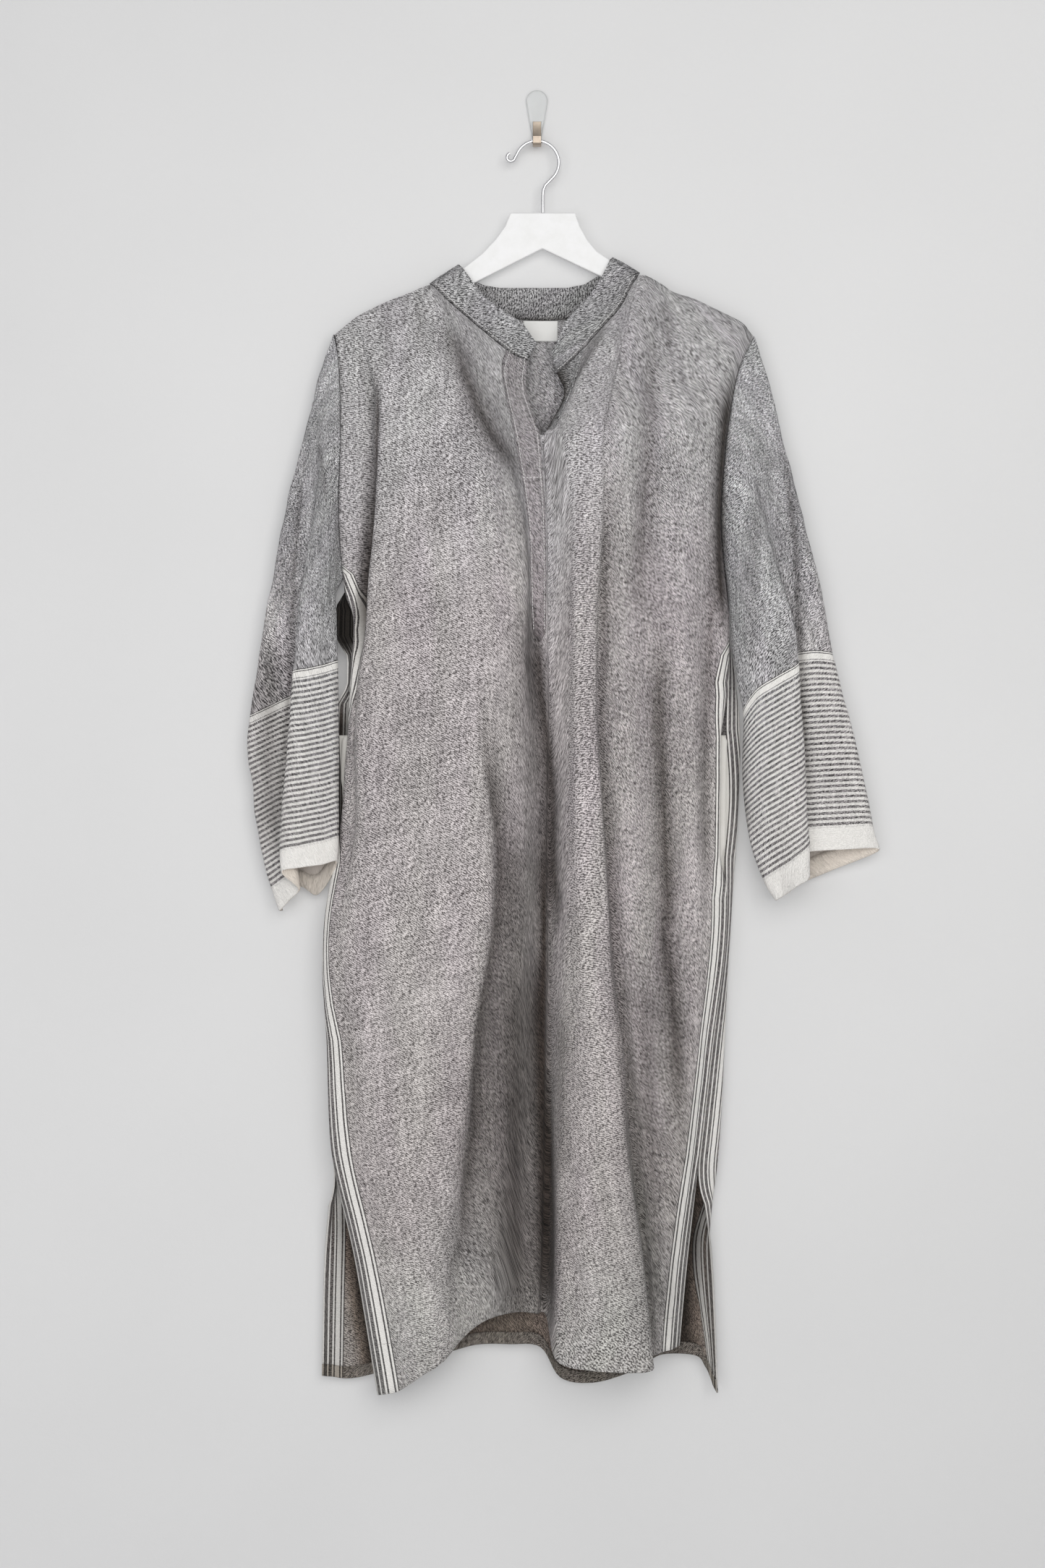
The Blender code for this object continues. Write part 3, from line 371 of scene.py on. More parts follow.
# Wall hook: teardrop plate and its J-shaped prong
PLATE_THICK = 3
PLATE_TOP_RADIUS = 12
PLATE_TOP_CENTRE_Z = 16
PLATE_FOOT_RADIUS = 5
PLATE_FOOT_CENTRE_Z = -26
PLATE_TOP_SWEEP = (-8, 188)
PLATE_TOP_STEPS = 16
PLATE_FOOT_SWEEP = (190, 350)
PLATE_FOOT_STEPS = 8
PRONG_WIDTH = 9.6
PRONG_PROFILE = (
    (3.3, -8), (3.3, -30), (10, -38.3), (17, -38.3), (19, -36), (19, -28), (16.5, -28), (16.5, -35.3),
    (11.5, -35.3), (6, -26), (5.5, -8),
)

# The photograph's view and the room, in metres and watts. Lights: name, place, side, power, colour
CAMERA_PLACE = (-0.0163, -2.45, -0.7546)
CAMERA_LENS = 49.81
CAMERA_SENSOR = 36
LIGHTS = (
    ("window", (0.55, -2.2, -0.05), 2.0, 27, (1.0, 0.99, 0.97)),
    ("room behind", (0.6, 2.3, 0.1), 2.2, 30, (1.0, 1.0, 1.0)),
    ("fill", (-0.8, -2.3, -0.7), 2.2, 20, (0.99, 0.99, 1.0)),
)
LIGHTS_AIM = (0, 0, -0.75)
ROOM_COLOUR = (0.98, 0.985, 1.0, 1)
ROOM_STRENGTH = 0.42
WALL_CORNERS = ((-6, 0.0004, -2), (6, 0.0004, -2), (6, 0.0004, 4), (-6, 0.0004, 4))
FLOOR_CORNERS = ((-6, -6, -2), (6, -6, -2), (6, 6, -2), (-6, 6, -2))


def smooth_path(points: Grid | Sequence, steps: int) -> Grid:
    """Follows a Catmull-Rom path through points, or through rows of points.

    Args:
        points: the points to pass through, along the first axis.
        steps: how many steps lie between one point and the next.

    Returns:
        The points of the path, along the first axis.
    """
    points = np.asarray(points, float)
    ends = [2 * points[0] - points[1]], [2 * points[-1] - points[-2]]
    padded = np.concatenate([ends[0], points, ends[1]])
    before, start, end, after = padded[:-3], padded[1:-2], padded[2:-1], padded[3:]
    shares = []
    for k in range(steps):
        t = k / steps
        bend = (2 * before - 5 * start + 4 * end - after) * t**2
        twist = (3 * start - before - 3 * end + after) * t**3
        shares.append(0.5 * (2 * start + (end - before) * t + bend + twist))
    path = np.stack(shares, axis=1).reshape(-1, *points.shape[1:])
    return np.concatenate([path, points[-1:]])


def smooth_loop(points: Sequence[Point], steps: int) -> Grid:
    """Follows a closed Catmull-Rom ring through the points.

    Args:
        points: the ring's control points.
        steps: how many steps lie between one point and the next.

    Returns:
        The ring's points, with the first one given once.
    """
    wrapped = [points[-1], *points, points[0], points[1]]
    return smooth_path(wrapped, steps)[steps:steps * (len(points) + 1)]


def resample(points: Grid, count: int) -> Grid:
    """Spaces points evenly along a path.

    Args:
        points: the path's points.
        count: how many points to return.

    Returns:
        The evenly spaced points.
    """
    points = np.asarray(points, float)
    lengths = np.r_[0, np.cumsum(np.linalg.norm(np.diff(points, axis=0), axis=1))]
    wanted = np.linspace(0, lengths[-1], count)
    return np.stack([np.interp(wanted, lengths, points[:, k]) for k in range(3)], axis=1)


def run_length(grid: Grid, axis: int) -> Grid:
    """Measures how far each grid point lies along the cloth.

    Args:
        grid: rows and columns of points.
        axis: 0 to measure down the columns, 1 along the rows.

    Returns:
        The distance of each point from the first one of its column or row.
    """
    steps = np.linalg.norm(np.diff(grid, axis=axis), axis=2)
    lengths = np.cumsum(steps, axis=axis)
    start = np.zeros_like(np.take(lengths, [0], axis=axis))
    return np.concatenate([start, lengths], axis=axis)


def grid_normals(grid: Grid) -> Grid:
    """Finds the unit normals of a grid, out of the front for a grid laid out as the front is."""
    normals = np.cross(np.gradient(grid, axis=0), np.gradient(grid, axis=1))
    return normals / np.maximum(np.linalg.norm(normals, axis=2, keepdims=True), 1e-9)


def add_piece(name: str, data: bpy.types.ID) -> Piece:
    """Adds an object to the scene.

    Args:
        name: its name.
        data: its mesh, curve, camera or lamp.

    Returns:
        The object.
    """
    piece = bpy.data.objects.new(name, data)
    bpy.context.scene.collection.objects.link(piece)
    return piece


def stand_in(piece: Piece, node: str) -> Piece:
    """Puts a piece in a solid's place, on the garment's body.

    Args:
        piece: the piece.
        node: the solid's node.

    Returns:
        The piece.
    """
    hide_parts(node)
    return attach(piece, BODY)


class Ripple:
    """Smooth seeded noise over a piece of cloth, the same on every run."""

    def __init__(self, seed: int, size: int = 96) -> None:
        """Draws the noise's values once.

        Args:
            seed: the fixed seed.
            size: how many cells the noise has before it repeats.
        """
        self.values = np.random.default_rng(seed).uniform(-1, 1, (size, size))

    def at(self, u: Grid, v: Grid) -> Grid:
        """Reads the noise.

        Args:
            u: the first coordinate, in cells.
            v: the second coordinate, in cells.

        Returns:
            Values from -1 to 1.
        """
        size = len(self.values)
        i, j = np.floor(u).astype(int), np.floor(v).astype(int)
        a, b = u - i, v - j
        a, b = a * a * (3 - 2 * a), b * b * (3 - 2 * b)
        low, high = (
            self.values[i % size, k % size] * (1 - a) + self.values[(i + 1) % size, k % size] * a
            for k in (j, j + 1)
        )
        return low * (1 - b) + high * b


@dataclass(frozen=True)
class Fold:
    """One soft trough or ridge that runs down the cloth.

    The path is (x, z) from its upper to its lower end. Left and right are its
    widths to either side, depth is how far it is pressed in, and tone is how much
    shade is painted into the twill's colour along it.
    """

    path: tuple
    left: float
    right: float
    depth: float
    tone: float

    def shape(self, x: Grid, z: Grid) -> Grid:
        """Works out the fold's profile.

        Args:
            x: where the points lie across.
            z: where they lie up.

        Returns:
            A share from 0 to 1 at each point.
        """
        line = smooth_path([(a, b) for a, b in self.path], 8)[::-1]
        aside = x - np.interp(z, line[:, 1], line[:, 0])
        width = np.where(aside < 0, self.left, self.right)
        low, high = line[0, 1], line[-1, 1]
        reach = 0.22 * (high - low)
        ends = np.clip((z - low) / reach, 0, 1) * np.clip((high - z) / reach, 0, 1)
        return np.exp(-np.abs(aside / width) ** 1.6) * ends * ends * (3 - 2 * ends)


@dataclass
class Cloth:
    """A grid of points with what the weave needs to know at each of them.

    across and down are distances along the yarns, edge is the distance from the
    nearer side edge, and cuff is the distance up from a sleeve's end. tone is how
    much shade is painted into the cloth where it lies deep in a fold, and turned
    counts the rows folded up inside.
    """

    points: Grid
    across: Grid
    down: Grid
    edge: Grid
    cuff: Grid
    outward: int = 1
    closed: bool = False
    tone: Grid | float = 0.0
    turned: int = 0

    def press(self, folds: Sequence[Fold], where: Grid | float = 1.0) -> Grid:
        """Paints shade into the cloth's colour along its folds.

        Args:
            folds: the folds.
            where: a share that says which part of the cloth has them.

        Returns:
            How far each point is pressed in.
        """
        x, z = self.points[..., 0], self.points[..., 1]
        depth, clear = np.zeros_like(x), np.ones_like(x)
        for fold in folds:
            share = fold.shape(x, z) * where
            depth = depth + fold.depth * share
            clear = clear * (1 - np.clip(fold.tone * share, 0, 1))
        self.tone = 1 - (1 - self.tone) * clear
        return depth

    def shade_hollows(self, reach: float, depth: float, most: float) -> None:
        """Darkens the cloth where it lies deeper than what is beside it.

        Args:
            reach: how far to either side counts as beside.
            depth: the depth that darkens it fully.
            most: how much darker it gets then.
        """
        width = self.points[..., 0]
        tone = np.zeros_like(width)
        steps = np.linspace(-2.5, 2.5, 41)
        weights = np.exp(-steps**2 / 2)
        for row in range(len(width)):
            along, out = self.across[row], self.points[row, :, 2]
            spread = np.interp(along[:, None] + reach * steps, along, out)
            tone[row] = np.clip((spread @ weights / weights.sum() - out) / depth, 0, 1) * most
        self.tone = 1 - (1 - self.tone) * (1 - tone)

    def lifted(self, amount: Grid | float) -> Grid:
        """Moves the points out along their normals by the amount."""
        return self.points + self.normals() * np.asarray(amount)[..., None]

    def normals(self) -> Grid:
        """Finds the unit normals that point out of the cloth's right side."""
        if not self.closed:
            return grid_normals(self.points) * self.outward
        wrapped = np.concatenate([self.points[:, -1:], self.points, self.points[:, :1]], axis=1)
        return grid_normals(wrapped)[:, 1:-1] * self.outward

    def with_hem(self, turn: float, wall: float, gap: float, rows: int) -> "Cloth":
        """Folds the lower edge up inside the cloth.

        Args:
            turn: how far the folded edge reaches up.
            wall: the cloth's thickness.
            gap: the air between the two layers.
            rows: how many rows the folded part has.

        Returns:
            The cloth with the folded rows added below its last row.
        """
        inward = -self.normals()
        from_hem = run_length(self.points[::-1], 0)[::-1]
        depth = 2 * wall + gap
        bottom = self.points[-1] + inward[-1] * depth / 2 + (0, -wall / 2, 0)
        added, downs = [bottom], [self.down[-1] + depth / 2]
        columns = np.arange(self.points.shape[1])
        for share in np.linspace(0, 1, rows):
            wanted = share * turn
            row = np.argmax(from_hem <= wanted + 1e-9, axis=0)
            above = np.maximum(row - 1, 0)
            span = np.maximum(from_hem[above, columns] - from_hem[row, columns], 1e-9)
            part = ((wanted - from_hem[row, columns]) / span)[:, None]
            spot = self.points[row, columns] * (1 - part) + self.points[above, columns] * part
            added.append(spot + inward[above, columns] * depth)
            downs.append(self.down[-1] + depth + wanted)
        count = len(added)
        across, edge, cuff, tone = (
            np.concatenate([part, np.repeat(part[-1:], count, axis=0)])
            for part in (self.across, self.edge, self.cuff, self.tone)
        )
        points, down = np.concatenate([self.points, added]), np.concatenate([self.down, downs])
        return Cloth(points, across, down, edge, cuff, self.outward, self.closed, tone, count)

    def build(self, node: str, wall: float, finish: Material, inside: Material | None = None,
              hole: Callable[[Grid, Grid], Grid] | None = None, slot: str = "grey_twill") -> Piece:
        """Makes the piece that stands in for a cloth solid, with its UV maps and its thickness.

        Args:
            node: the solid's node.
            wall: the cloth's thickness.
            finish: the material.
            inside: the material of the inner side, where it differs.
            hole: says which faces, by row and column, are left out.
            slot: not used.

        Returns:
            The piece.
        """
        rows, columns = self.points.shape[:2]
        spans = columns if self.closed else columns - 1
        row, column = (index.ravel() for index in np.indices((rows - 1, spans)))
        if hole is not None:
            kept = ~hole(row, column)
            row, column = row[kept], column[kept]
        corner_rows = np.stack([row, row + 1, row + 1, row], axis=1)
        corner_columns = np.stack([column, column, column + 1, column + 1], axis=1)
        if self.outward < 0:
            corner_rows, corner_columns = corner_rows[:, ::-1], corner_columns[:, ::-1]
        index = corner_rows * columns + corner_columns % columns
        used, faces = np.unique(index, return_inverse=True)
        spots = self.points.reshape(-1, 3)[used]
        verts = np.stack([spots[:, 0], -spots[:, 2], spots[:, 1]], axis=1) * MM
        mesh = bpy.data.meshes.new("cloth_" + node)
        mesh.from_pydata(verts.tolist(), [], faces.reshape(-1, 4).tolist())
        # The tone map holds the painted shade, and in its second part the rows turned up inside
        tone = self.tone / MM + np.zeros(self.points.shape[:2])
        turned = np.zeros_like(tone)
        turned[len(turned) - self.turned:] = 1 / MM
        marks = {"cloth": (self.across, self.down), "border": (self.edge, self.cuff), "tone": (tone, turned)}
        for label, pair in marks.items():
            layer = mesh.uv_layers.new(name=label)
            values = [self.around(part)[corner_rows, corner_columns].ravel() for part in pair]
            layer.data.foreach_set("uv", (np.stack(values, axis=1) * MM).ravel())
        mesh.materials.append(finish)
        mesh.shade_smooth()
        piece = add_piece("cloth_" + node, mesh)
        thick = piece.modifiers.new("wall", "SOLIDIFY")
        thick.thickness = wall * MM
        thick.offset = -1
        thick.use_quality_normals = True
        if inside is not None:
            mesh.materials.append(inside)
            thick.material_offset = thick.material_offset_rim = 1
        return stand_in(piece, node)

    def around(self, values: Grid) -> Grid:
        """Carries the values of a closed ring on past its first point, for the last face's corners."""
        onward = values[:, -1:] + (values[:, -1:] - values[:, -2:-1])
        return np.concatenate([values, onward], axis=1) if self.closed else values


# Creases pressed into the front, with shade painted along them: path (x, z), width to the left and to the right,
# depth, tone (painted shade)
FRONT_CREASES_AND_SHADE = [Fold(*row) for row in (
    # left fold's edge
    (((-182, -263), (-179, -335), (-182, -407), (-188, -479), (-193, -527), (-195, -583),
      (-199, -639)), 7, 3, 6, 0.95),
    # slanting valley
    (((-107, -227), (-90, -264), (-76, -303), (-64, -335), (-48, -367), (-29, -395),
      (-16, -422)), 17, 11, 2.5, 0.68),
    # slanting valley's core
    (((-87, -275), (-76, -305), (-64, -335), (-48, -367), (-34, -388)), 7, 4, 0.6, 0.42),
    # middle valley, upper
    (((-8, -535), (0, -591), (4, -647), (11, -703), (16, -767), (17, -847), (21, -903),
      (24, -951)), 20, 7, 3, 0.9),
    # middle valley, lower
    (((8, -895), (6, -1007), (8, -1087), (11, -1167), (12, -1247), (12, -1407)), 18, 7, 5, 1.0),
    # middle valley's side
    (((-24, -1047), (-24, -1207), (-22, -1407)), 18, 18, 0, 0.65),
    # valley floor
    (((-24, -783), (-24, -927), (-24, -1135)), 20, 20, 0, 0.5),
    # middle valley's core
    (((7, -767), (8, -927), (6, -1047), (8, -1207), (9, -1359)), 8, 5, 0, 1.0),
    # under the right fold of the opening
    (((83, -239), (62, -275), (43, -305), (29, -326), (16, -345)), 15, 1.5, 0, 0.42),
    # broad shade beside the middle valley
    (((-28, -927), (-29, -1047), (-34, -1167), (-31, -1295), (-28, -1367)), 34, 30, 0, 0.5),
    # flat fold's inner crease
    (((-64, -623), (-56, -727), (-44, -807), (-44, -887), (-50, -943), (-62, -1007), (-68, -1071),
      (-72, -1135), (-80, -1199), (-84, -1255), (-98, -1303), (-109, -1351)), 4, 17, 3, 0.75),
    # crease beside the middle fold
    (((83, -335), (77, -447), (74, -527), (72, -607), (71, -687), (75, -767), (79, -831),
      (82, -887), (85, -967), (91, -1047), (99, -1127), (110, -1207), (121, -1287),
      (128, -1407)), 3.5, 8, 2.5, 0.5),
    # chest crease
    (((130, -215), (128, -327), (125, -399), (121, -447), (117, -511), (113, -583)), 12, 5, 2.5, 0.38),
    # right valley
    (((148, -551), (138, -623), (137, -687), (141, -751), (143, -807), (146, -887), (144, -927),
      (150, -975), (154, -1023), (157, -1087), (160, -1183)), 10, 8, 3, 0.8),
    # armhole, right
    (((224, -271), (213, -335), (208, -383), (205, -447), (204, -495), (206, -543),
      (210, -607)), 10, 8, 1, 1.0),
    # beside the right border
    (((198, -495), (194, -607), (193, -647), (190, -687), (189, -767), (190, -831),
      (194, -895)), 9, 5, 2.5, 0.5),
    # shoulder tuck, right
    (((139, -207), (145, -239), (149, -279)), 5, 5, 2, 0.35),
    # shoulder tuck, left
    (((-133, -203), (-131, -239), (-127, -279)), 5, 5, 2, 0.35),
    # shoulder tuck, outer left
    (((-168, -211), (-167, -247), (-165, -303)), 6, 6, 1.5, 0.2),
    # right field
    (((120, -927), (122, -1087), (130, -1247), (138, -1407)), 22, 18, 0, 0.5),
    # side under the left sleeve
    (((-221, -700), (-221, -770), (-221, -839)), 4, 3, 0, 0.85),
    # middle fold's foot
    (((27, -991), (26, -1087), (24, -1207)), 5, 12, 0, 0.3),
)]

# Creases pressed into the sleeves, with shade painted along them, in the same columns
LEFT_CREASES_AND_SHADE = [Fold(*row) for row in (
    # beside the front layer's edge
    (((-253, -359), (-261, -407), (-265, -447), (-271, -527), (-274, -607), (-279, -687),
      (-285, -767), (-290, -831)), 5, 2, 0, 0.5),
    # small crease
    (((-246, -367), (-238, -407), (-235, -447)), 2, 2, 0.8, 0.5),
    # armhole
    (((-216, -271), (-215, -367), (-218, -447), (-221, -527)), 4, 3, 0.0, 0.5),
    # under the armhole
    (((-224, -607), (-223, -687), (-221, -767), (-220, -839)), 3, 3, 0.0, 0.3),
    # outer strip
    (((-290, -575), (-298, -639), (-299, -735), (-291, -847)), 18, 14, 0.0, 0.5),
)]
RIGHT_CREASES_AND_SHADE = [Fold(*row) for row in (
    # beside the front layer's edge
    (((270, -351), (277, -399), (283, -447), (287, -495), (289, -551), (292, -607), (294, -655),
      (299, -735), (303, -807)), 2, 6, 0, 0.62),
    # soft trough
    (((250, -399), (242, -479), (238, -543), (237, -607), (235, -655)), 9, 8, 1.0, 0.25),
    # armhole
    (((224, -287), (216, -327), (211, -367), (208, -415), (208, -487), (209, -543), (214, -599),
      (224, -655)), 6, 4, 0, 0.85),
    # inner side
    (((227, -671), (229, -719), (230, -767), (238, -823)), 8, 6, 0.0, 0.4),
    # outer strip
    (((318, -655), (326, -719), (334, -791)), 22, 18, 0.0, 0.1),
)]
# Shade painted on the inner side of the back
BACK_PAINTED_SHADE = [Fold(*row) for row in (
    # under the left arm and beside the left sleeve
    (((-215, -519), (-215, -615)), 30, 40, 0, 1.0),
    (((-222, -530), (-221, -585), (-216, -618)), 16, 14, 0, 0.97),
    (((-224, -650), (-226, -700), (-226, -807), (-222, -850)), 20, 18, 0, 0.98),
    # the whole body, and more above the hem
    (((-60, -700), (-60, -1100), (-60, -1600)), 170, 260, 0, 0.55),
    (((-42, -1247), (-42, -1367), (-42, -1487)), 60, 60, 0, 0.3),
    # the two slits
    (((-208, -1135), (-200, -1247), (-196, -1327), (-190, -1455)), 6, 50, 0, 0.9),
    (((-211, -1215), (-203, -1283), (-194, -1335), (-181, -1395)), 14, 40, 0, 0.97),
    (((178, -1167), (174, -1247), (166, -1327), (166, -1455)), 60, 20, 0, 0.95),
    # what shows below the front's hem
    (((-34, -1399), (126, -1411)), 30, 30, 0, 0.85),
)]
# How much shade is painted into the sleeves' hollows
SLEEVE_HOLLOW_SHADE = 0.6


GROUPS: dict[str, NodeTree] = {}


class Net:
    """Adds nodes to a node tree and joins them."""

    def __init__(self, tree: NodeTree) -> None:
        """Takes the tree to add to."""
        self.tree = tree

    def feed(self, socket: Socket, value: object) -> None:
        """Joins a socket to another one, or sets its value."""
        if isinstance(value, Socket):
            self.tree.links.new(value, socket)
        else:
            socket.default_value = value

    def fill(self, node: Node, inputs: dict) -> None:
        """Joins or sets a node's inputs, by name or place."""
        for key, value in inputs.items():
            self.feed(node.inputs[key], value)

    def add(self, kind: str, inputs: dict | None = None, **settings: object) -> Node:
        """Adds a node.

        Args:
            kind: the node's type.
            inputs: values or sockets for its inputs, by name or place.
            settings: the node's own properties.

        Returns:
            The node.
        """
        node = self.tree.nodes.new(kind)
        for name, value in settings.items():
            setattr(node, name, value)
        self.fill(node, inputs or {})
        return node

    def group(self, name: str, **inputs: object) -> Sequence[Socket]:
        """Adds one of the shared groups and returns its outputs."""
        return self.add("ShaderNodeGroup", inputs, node_tree=GROUPS[name]).outputs

    def uv(self, name: str) -> Socket:
        """Reads one of the cloth's UV maps, in metres."""
        return self.add("ShaderNodeUVMap", uv_map=name).outputs[0]

    def place(self) -> Socket:
        """Reads the place on the piece, in metres."""
        return self.add("ShaderNodeTexCoord").outputs["Object"]

    def parts(self, vector: Socket) -> Sequence[Socket]:
        """Splits a vector into its three parts."""
        return self.add("ShaderNodeSeparateXYZ", {0: vector}).outputs

    def thrice(self, value: Socket) -> Socket:
        """Makes a vector with the value in each of its three parts."""
        return self.add("ShaderNodeCombineXYZ", {n: value for n in range(3)}).outputs[0]

    def math(self, operation: str, *values: object, clamp: bool = False) -> Socket:
        """Adds a Math node and returns its result."""
        inputs = dict(enumerate(values))
        return self.add("ShaderNodeMath", inputs, operation=operation, use_clamp=clamp).outputs[0]

    def plus(self, a: object, b: object) -> Socket:
        """Adds two values."""
        return self.math("ADD", a, b)

    def minus(self, a: object, b: object) -> Socket:
        """Subtracts the second value from the first."""
        return self.math("SUBTRACT", a, b)

    def times(self, a: object, b: object) -> Socket:
        """Multiplies two values."""
        return self.math("MULTIPLY", a, b)

    def mix(self, share: object, a: object, b: object, blend: str = "MIX") -> Socket:
        """Mixes two colours and returns the result."""
        inputs = {0: share, 6: a, 7: b}
        return self.add("ShaderNodeMix", inputs, data_type="RGBA", blend_type=blend).outputs[2]

    def tint(self, colour: Socket, by: object) -> Socket:
        """Multiplies a colour by another one."""
        return self.mix(1.0, colour, by, "MULTIPLY")

    def noise(self, vector: Socket, scale: float, detail: float = 2, rough: float = 0.5) -> Socket:
        """Adds a noise texture and returns its value."""
        inputs = {"Vector": vector, "Scale": scale, "Detail": detail, "Roughness": rough}
        return self.add("ShaderNodeTexNoise", inputs).outputs["Fac"]

    def span(self, value: Socket, low: float, high: float, out_low: float = 0, out_high: float = 1) -> Socket:
        """Maps a range of values to another, held at its ends."""
        inputs = {"Value": value, "From Min": low, "From Max": high, "To Min": out_low, "To Max": out_high}
        return self.add("ShaderNodeMapRange", inputs).outputs[0]

    def stretch(self, vector: Socket, x: float, y: float, z: float = 1) -> Socket:
        """Scales the parts of a vector."""
        return self.add("ShaderNodeVectorMath", {0: vector, 1: (x, y, z)}, operation="MULTIPLY").outputs[0]

    def grey(self, value: Socket) -> Socket:
        """Turns a value into a grey."""
        return self.add("ShaderNodeCombineColor", {n: value for n in range(3)}).outputs[0]

    def bump(self, height: Socket, distance: float, strength: float = 1) -> Socket:
        """Turns a height into a normal."""
        inputs = {"Height": height, "Distance": distance, "Strength": strength}
        return self.add("ShaderNodeBump", inputs).outputs["Normal"]


def node_group(name: str, inputs: dict[str, str], outputs: dict[str, str]) -> tuple[Net, Socket, Socket]:
    """Starts a shader node group.

    Args:
        name: the group's name.
        inputs: each input's name and kind.
        outputs: each output's name and kind.

    Returns:
        What adds nodes to the group, its inputs, and the sockets that take its results.
    """
    tree = bpy.data.node_groups.new(name, "ShaderNodeTree")
    for side, sockets in (("INPUT", inputs), ("OUTPUT", outputs)):
        for label, kind in sockets.items():
            tree.interface.new_socket(label, in_out=side, socket_type="NodeSocket" + kind)
    net = Net(tree)
    given = net.add("NodeGroupInput").outputs
    wanted = net.add("NodeGroupOutput").inputs
    return net, given, wanted


def twill_group() -> NodeTree:
    """Makes the weave: broken diagonal lines of light and dark yarn with a heathered speckle.

    Returns:
        The group, which takes the place on the cloth in metres and gives how light
        the yarn on top is, and how high it stands.
    """
    net, given, wanted = node_group("twill weave", {"Cloth": "Vector"}, {"Light": "Float", "Height": "Float"})
    place = given["Cloth"]
    parts = net.parts(place)
    cos, sin = math.cos(TWILL_SLANT), math.sin(TWILL_SLANT)
    over = net.minus(net.times(parts[1], cos), net.times(parts[0], sin))
    along = net.plus(net.times(parts[0], cos), net.times(parts[1], sin))
    slant = net.add("ShaderNodeCombineXYZ", {0: over, 1: net.times(along, 0.24)}).outputs[0]
    slip = net.times(net.noise(place, 160), 2.2)
    phase = net.plus(net.math("DIVIDE", over, TWILL_PITCH * MM), slip)
    line = net.math("SINE", net.times(phase, 2 * math.pi))
    broken = net.noise(slant, 900, 2, 0.8)
    warp = net.noise(net.stretch(place, 1, 0.25), 900, 1)
    weft = net.noise(net.stretch(place, 0.4, 1), 800, 2, 0.6)
    speckle = net.plus(net.times(broken, 2.2), net.times(net.plus(warp, weft), 0.6))
    blend = net.plus(net.times(line, 0.14), net.minus(speckle, 1.2))
    net.feed(wanted["Light"], net.span(blend, 0.27, 0.73))
    net.feed(wanted["Height"], net.plus(net.times(line, 0.4), broken))
    return net.tree


def crinkle_group() -> NodeTree:
    """Makes the cloth's crepe-like crinkle: short bent grooves between soft puffs.

    Returns:
        The group, which takes the place on the cloth in metres and gives its height.
    """
    net, given, wanted = node_group("crinkle", {"Cloth": "Vector"}, {"Height": "Float"})
    place = given["Cloth"]
    fine = net.noise(net.stretch(place, 1, 0.75), 190, 2, 0.6)
    middle = net.noise(net.stretch(place, 1, 0.6), 85)
    broad = net.noise(net.stretch(place, 1, 0.5), 36)
    puffs = net.math("ABSOLUTE", net.minus(fine, 0.5))
    total = net.plus(puffs, net.times(middle, 0.9))
    net.feed(wanted["Height"], net.plus(total, net.times(broad, 0.8)))
    return net.tree


def start_stripes(name: str, scale: float, wander: float) -> tuple[Net, Socket, Socket]:
    """Starts a group of woven stripes, which takes a distance in metres and gives white and dark masks.

    Args:
        name: the group's name.
        scale: how quickly the yarns stray.
        wander: how far the yarns stray, in metres.

    Returns:
        What adds nodes to the group, the strayed distance, and the sockets that take the masks.
    """
    inputs, outputs = {"Distance": "Float", "Cloth": "Vector"}, {"White": "Float", "Dark": "Float"}
    net, given, wanted = node_group(name, inputs, outputs)
    stray = net.times(net.minus(net.noise(given["Cloth"], scale), 0.5), wander)
    return net, net.plus(given["Distance"], stray), wanted


def border_group() -> NodeTree:
    """Makes the stripes of the side borders from their table.

    Returns:
        The group, which takes the distance from the edge.
    """
    net, distance, wanted = start_stripes("border stripes", 500, 0.0006)
    reach = BORDER_STRIPES[-1][0]
    share = net.math("DIVIDE", distance, reach * MM, clamp=True)
    for label, sign in (("White", 1), ("Dark", -1)):
        band = net.add("ShaderNodeValToRGB", {"Fac": share})
        ramp = band.color_ramp
        ramp.interpolation = "CONSTANT"
        start = 0.0
        for k, (end, tone) in enumerate(BORDER_STRIPES):
            stop = ramp.elements[k] if k < 2 else ramp.elements.new(start / reach)
            stop.position = start / reach
            stop.color = (*[max(0, sign * tone)] * 3, 1)
            start = end
        net.feed(wanted[label], band.outputs["Color"])
    return net.tree


def cuff_group() -> NodeTree:
    """Makes the sleeve's end: the cream band, the fine stripes, the broad white one and its thin lines.

    Returns:
        The group, which takes the distance up from the cuff.
    """
    net, distance, wanted = start_stripes("cuff stripes", 650, 0.0016)
    up = net.times(distance, 1000.0)

    def between(low: float, high: float) -> Socket:
        """Marks a range of distances."""
        return net.times(net.math("GREATER_THAN", up, low), net.math("LESS_THAN", up, high))

    cycle = net.math("FRACT", net.math("DIVIDE", net.minus(up, CUFF_BAND), STRIPE_PITCH))
    fine = net.math("LESS_THAN", cycle, STRIPE_WIDTH / STRIPE_PITCH)
    fine = net.times(net.times(fine, between(CUFF_BAND, STRIPED_TO - 4)), STRIPE_WHITE)
    white = net.math("MAXIMUM", between(-50, CUFF_BAND), fine)
    for low, high in WHITE_RINGS:
        white = net.math("MAXIMUM", white, between(low, high))
    dark = net.times(between(CUFF_BAND, STRIPED_TO), STRIPE_FIELD)
    for low, high in DARK_RINGS:
        dark = net.math("MAXIMUM", dark, between(low, high))
    net.feed(wanted["White"], white)
    net.feed(wanted["Dark"], net.math("SUBTRACT", dark, white, clamp=True))
    return net.tree


def start_material(name: str) -> tuple[Material, Net, Node]:
    """Starts a material.

    Args:
        name: the material's name.

    Returns:
        The material, what adds nodes to it, and its shader.
    """
    material = bpy.data.materials.new(name)
    material.use_nodes = True
    return material, Net(material.node_tree), material.node_tree.nodes["Principled BSDF"]


def dimmed(colour: tuple, share: float) -> tuple:
    """Darkens a colour."""
    return (*(share * part for part in colour[:3]), 1)


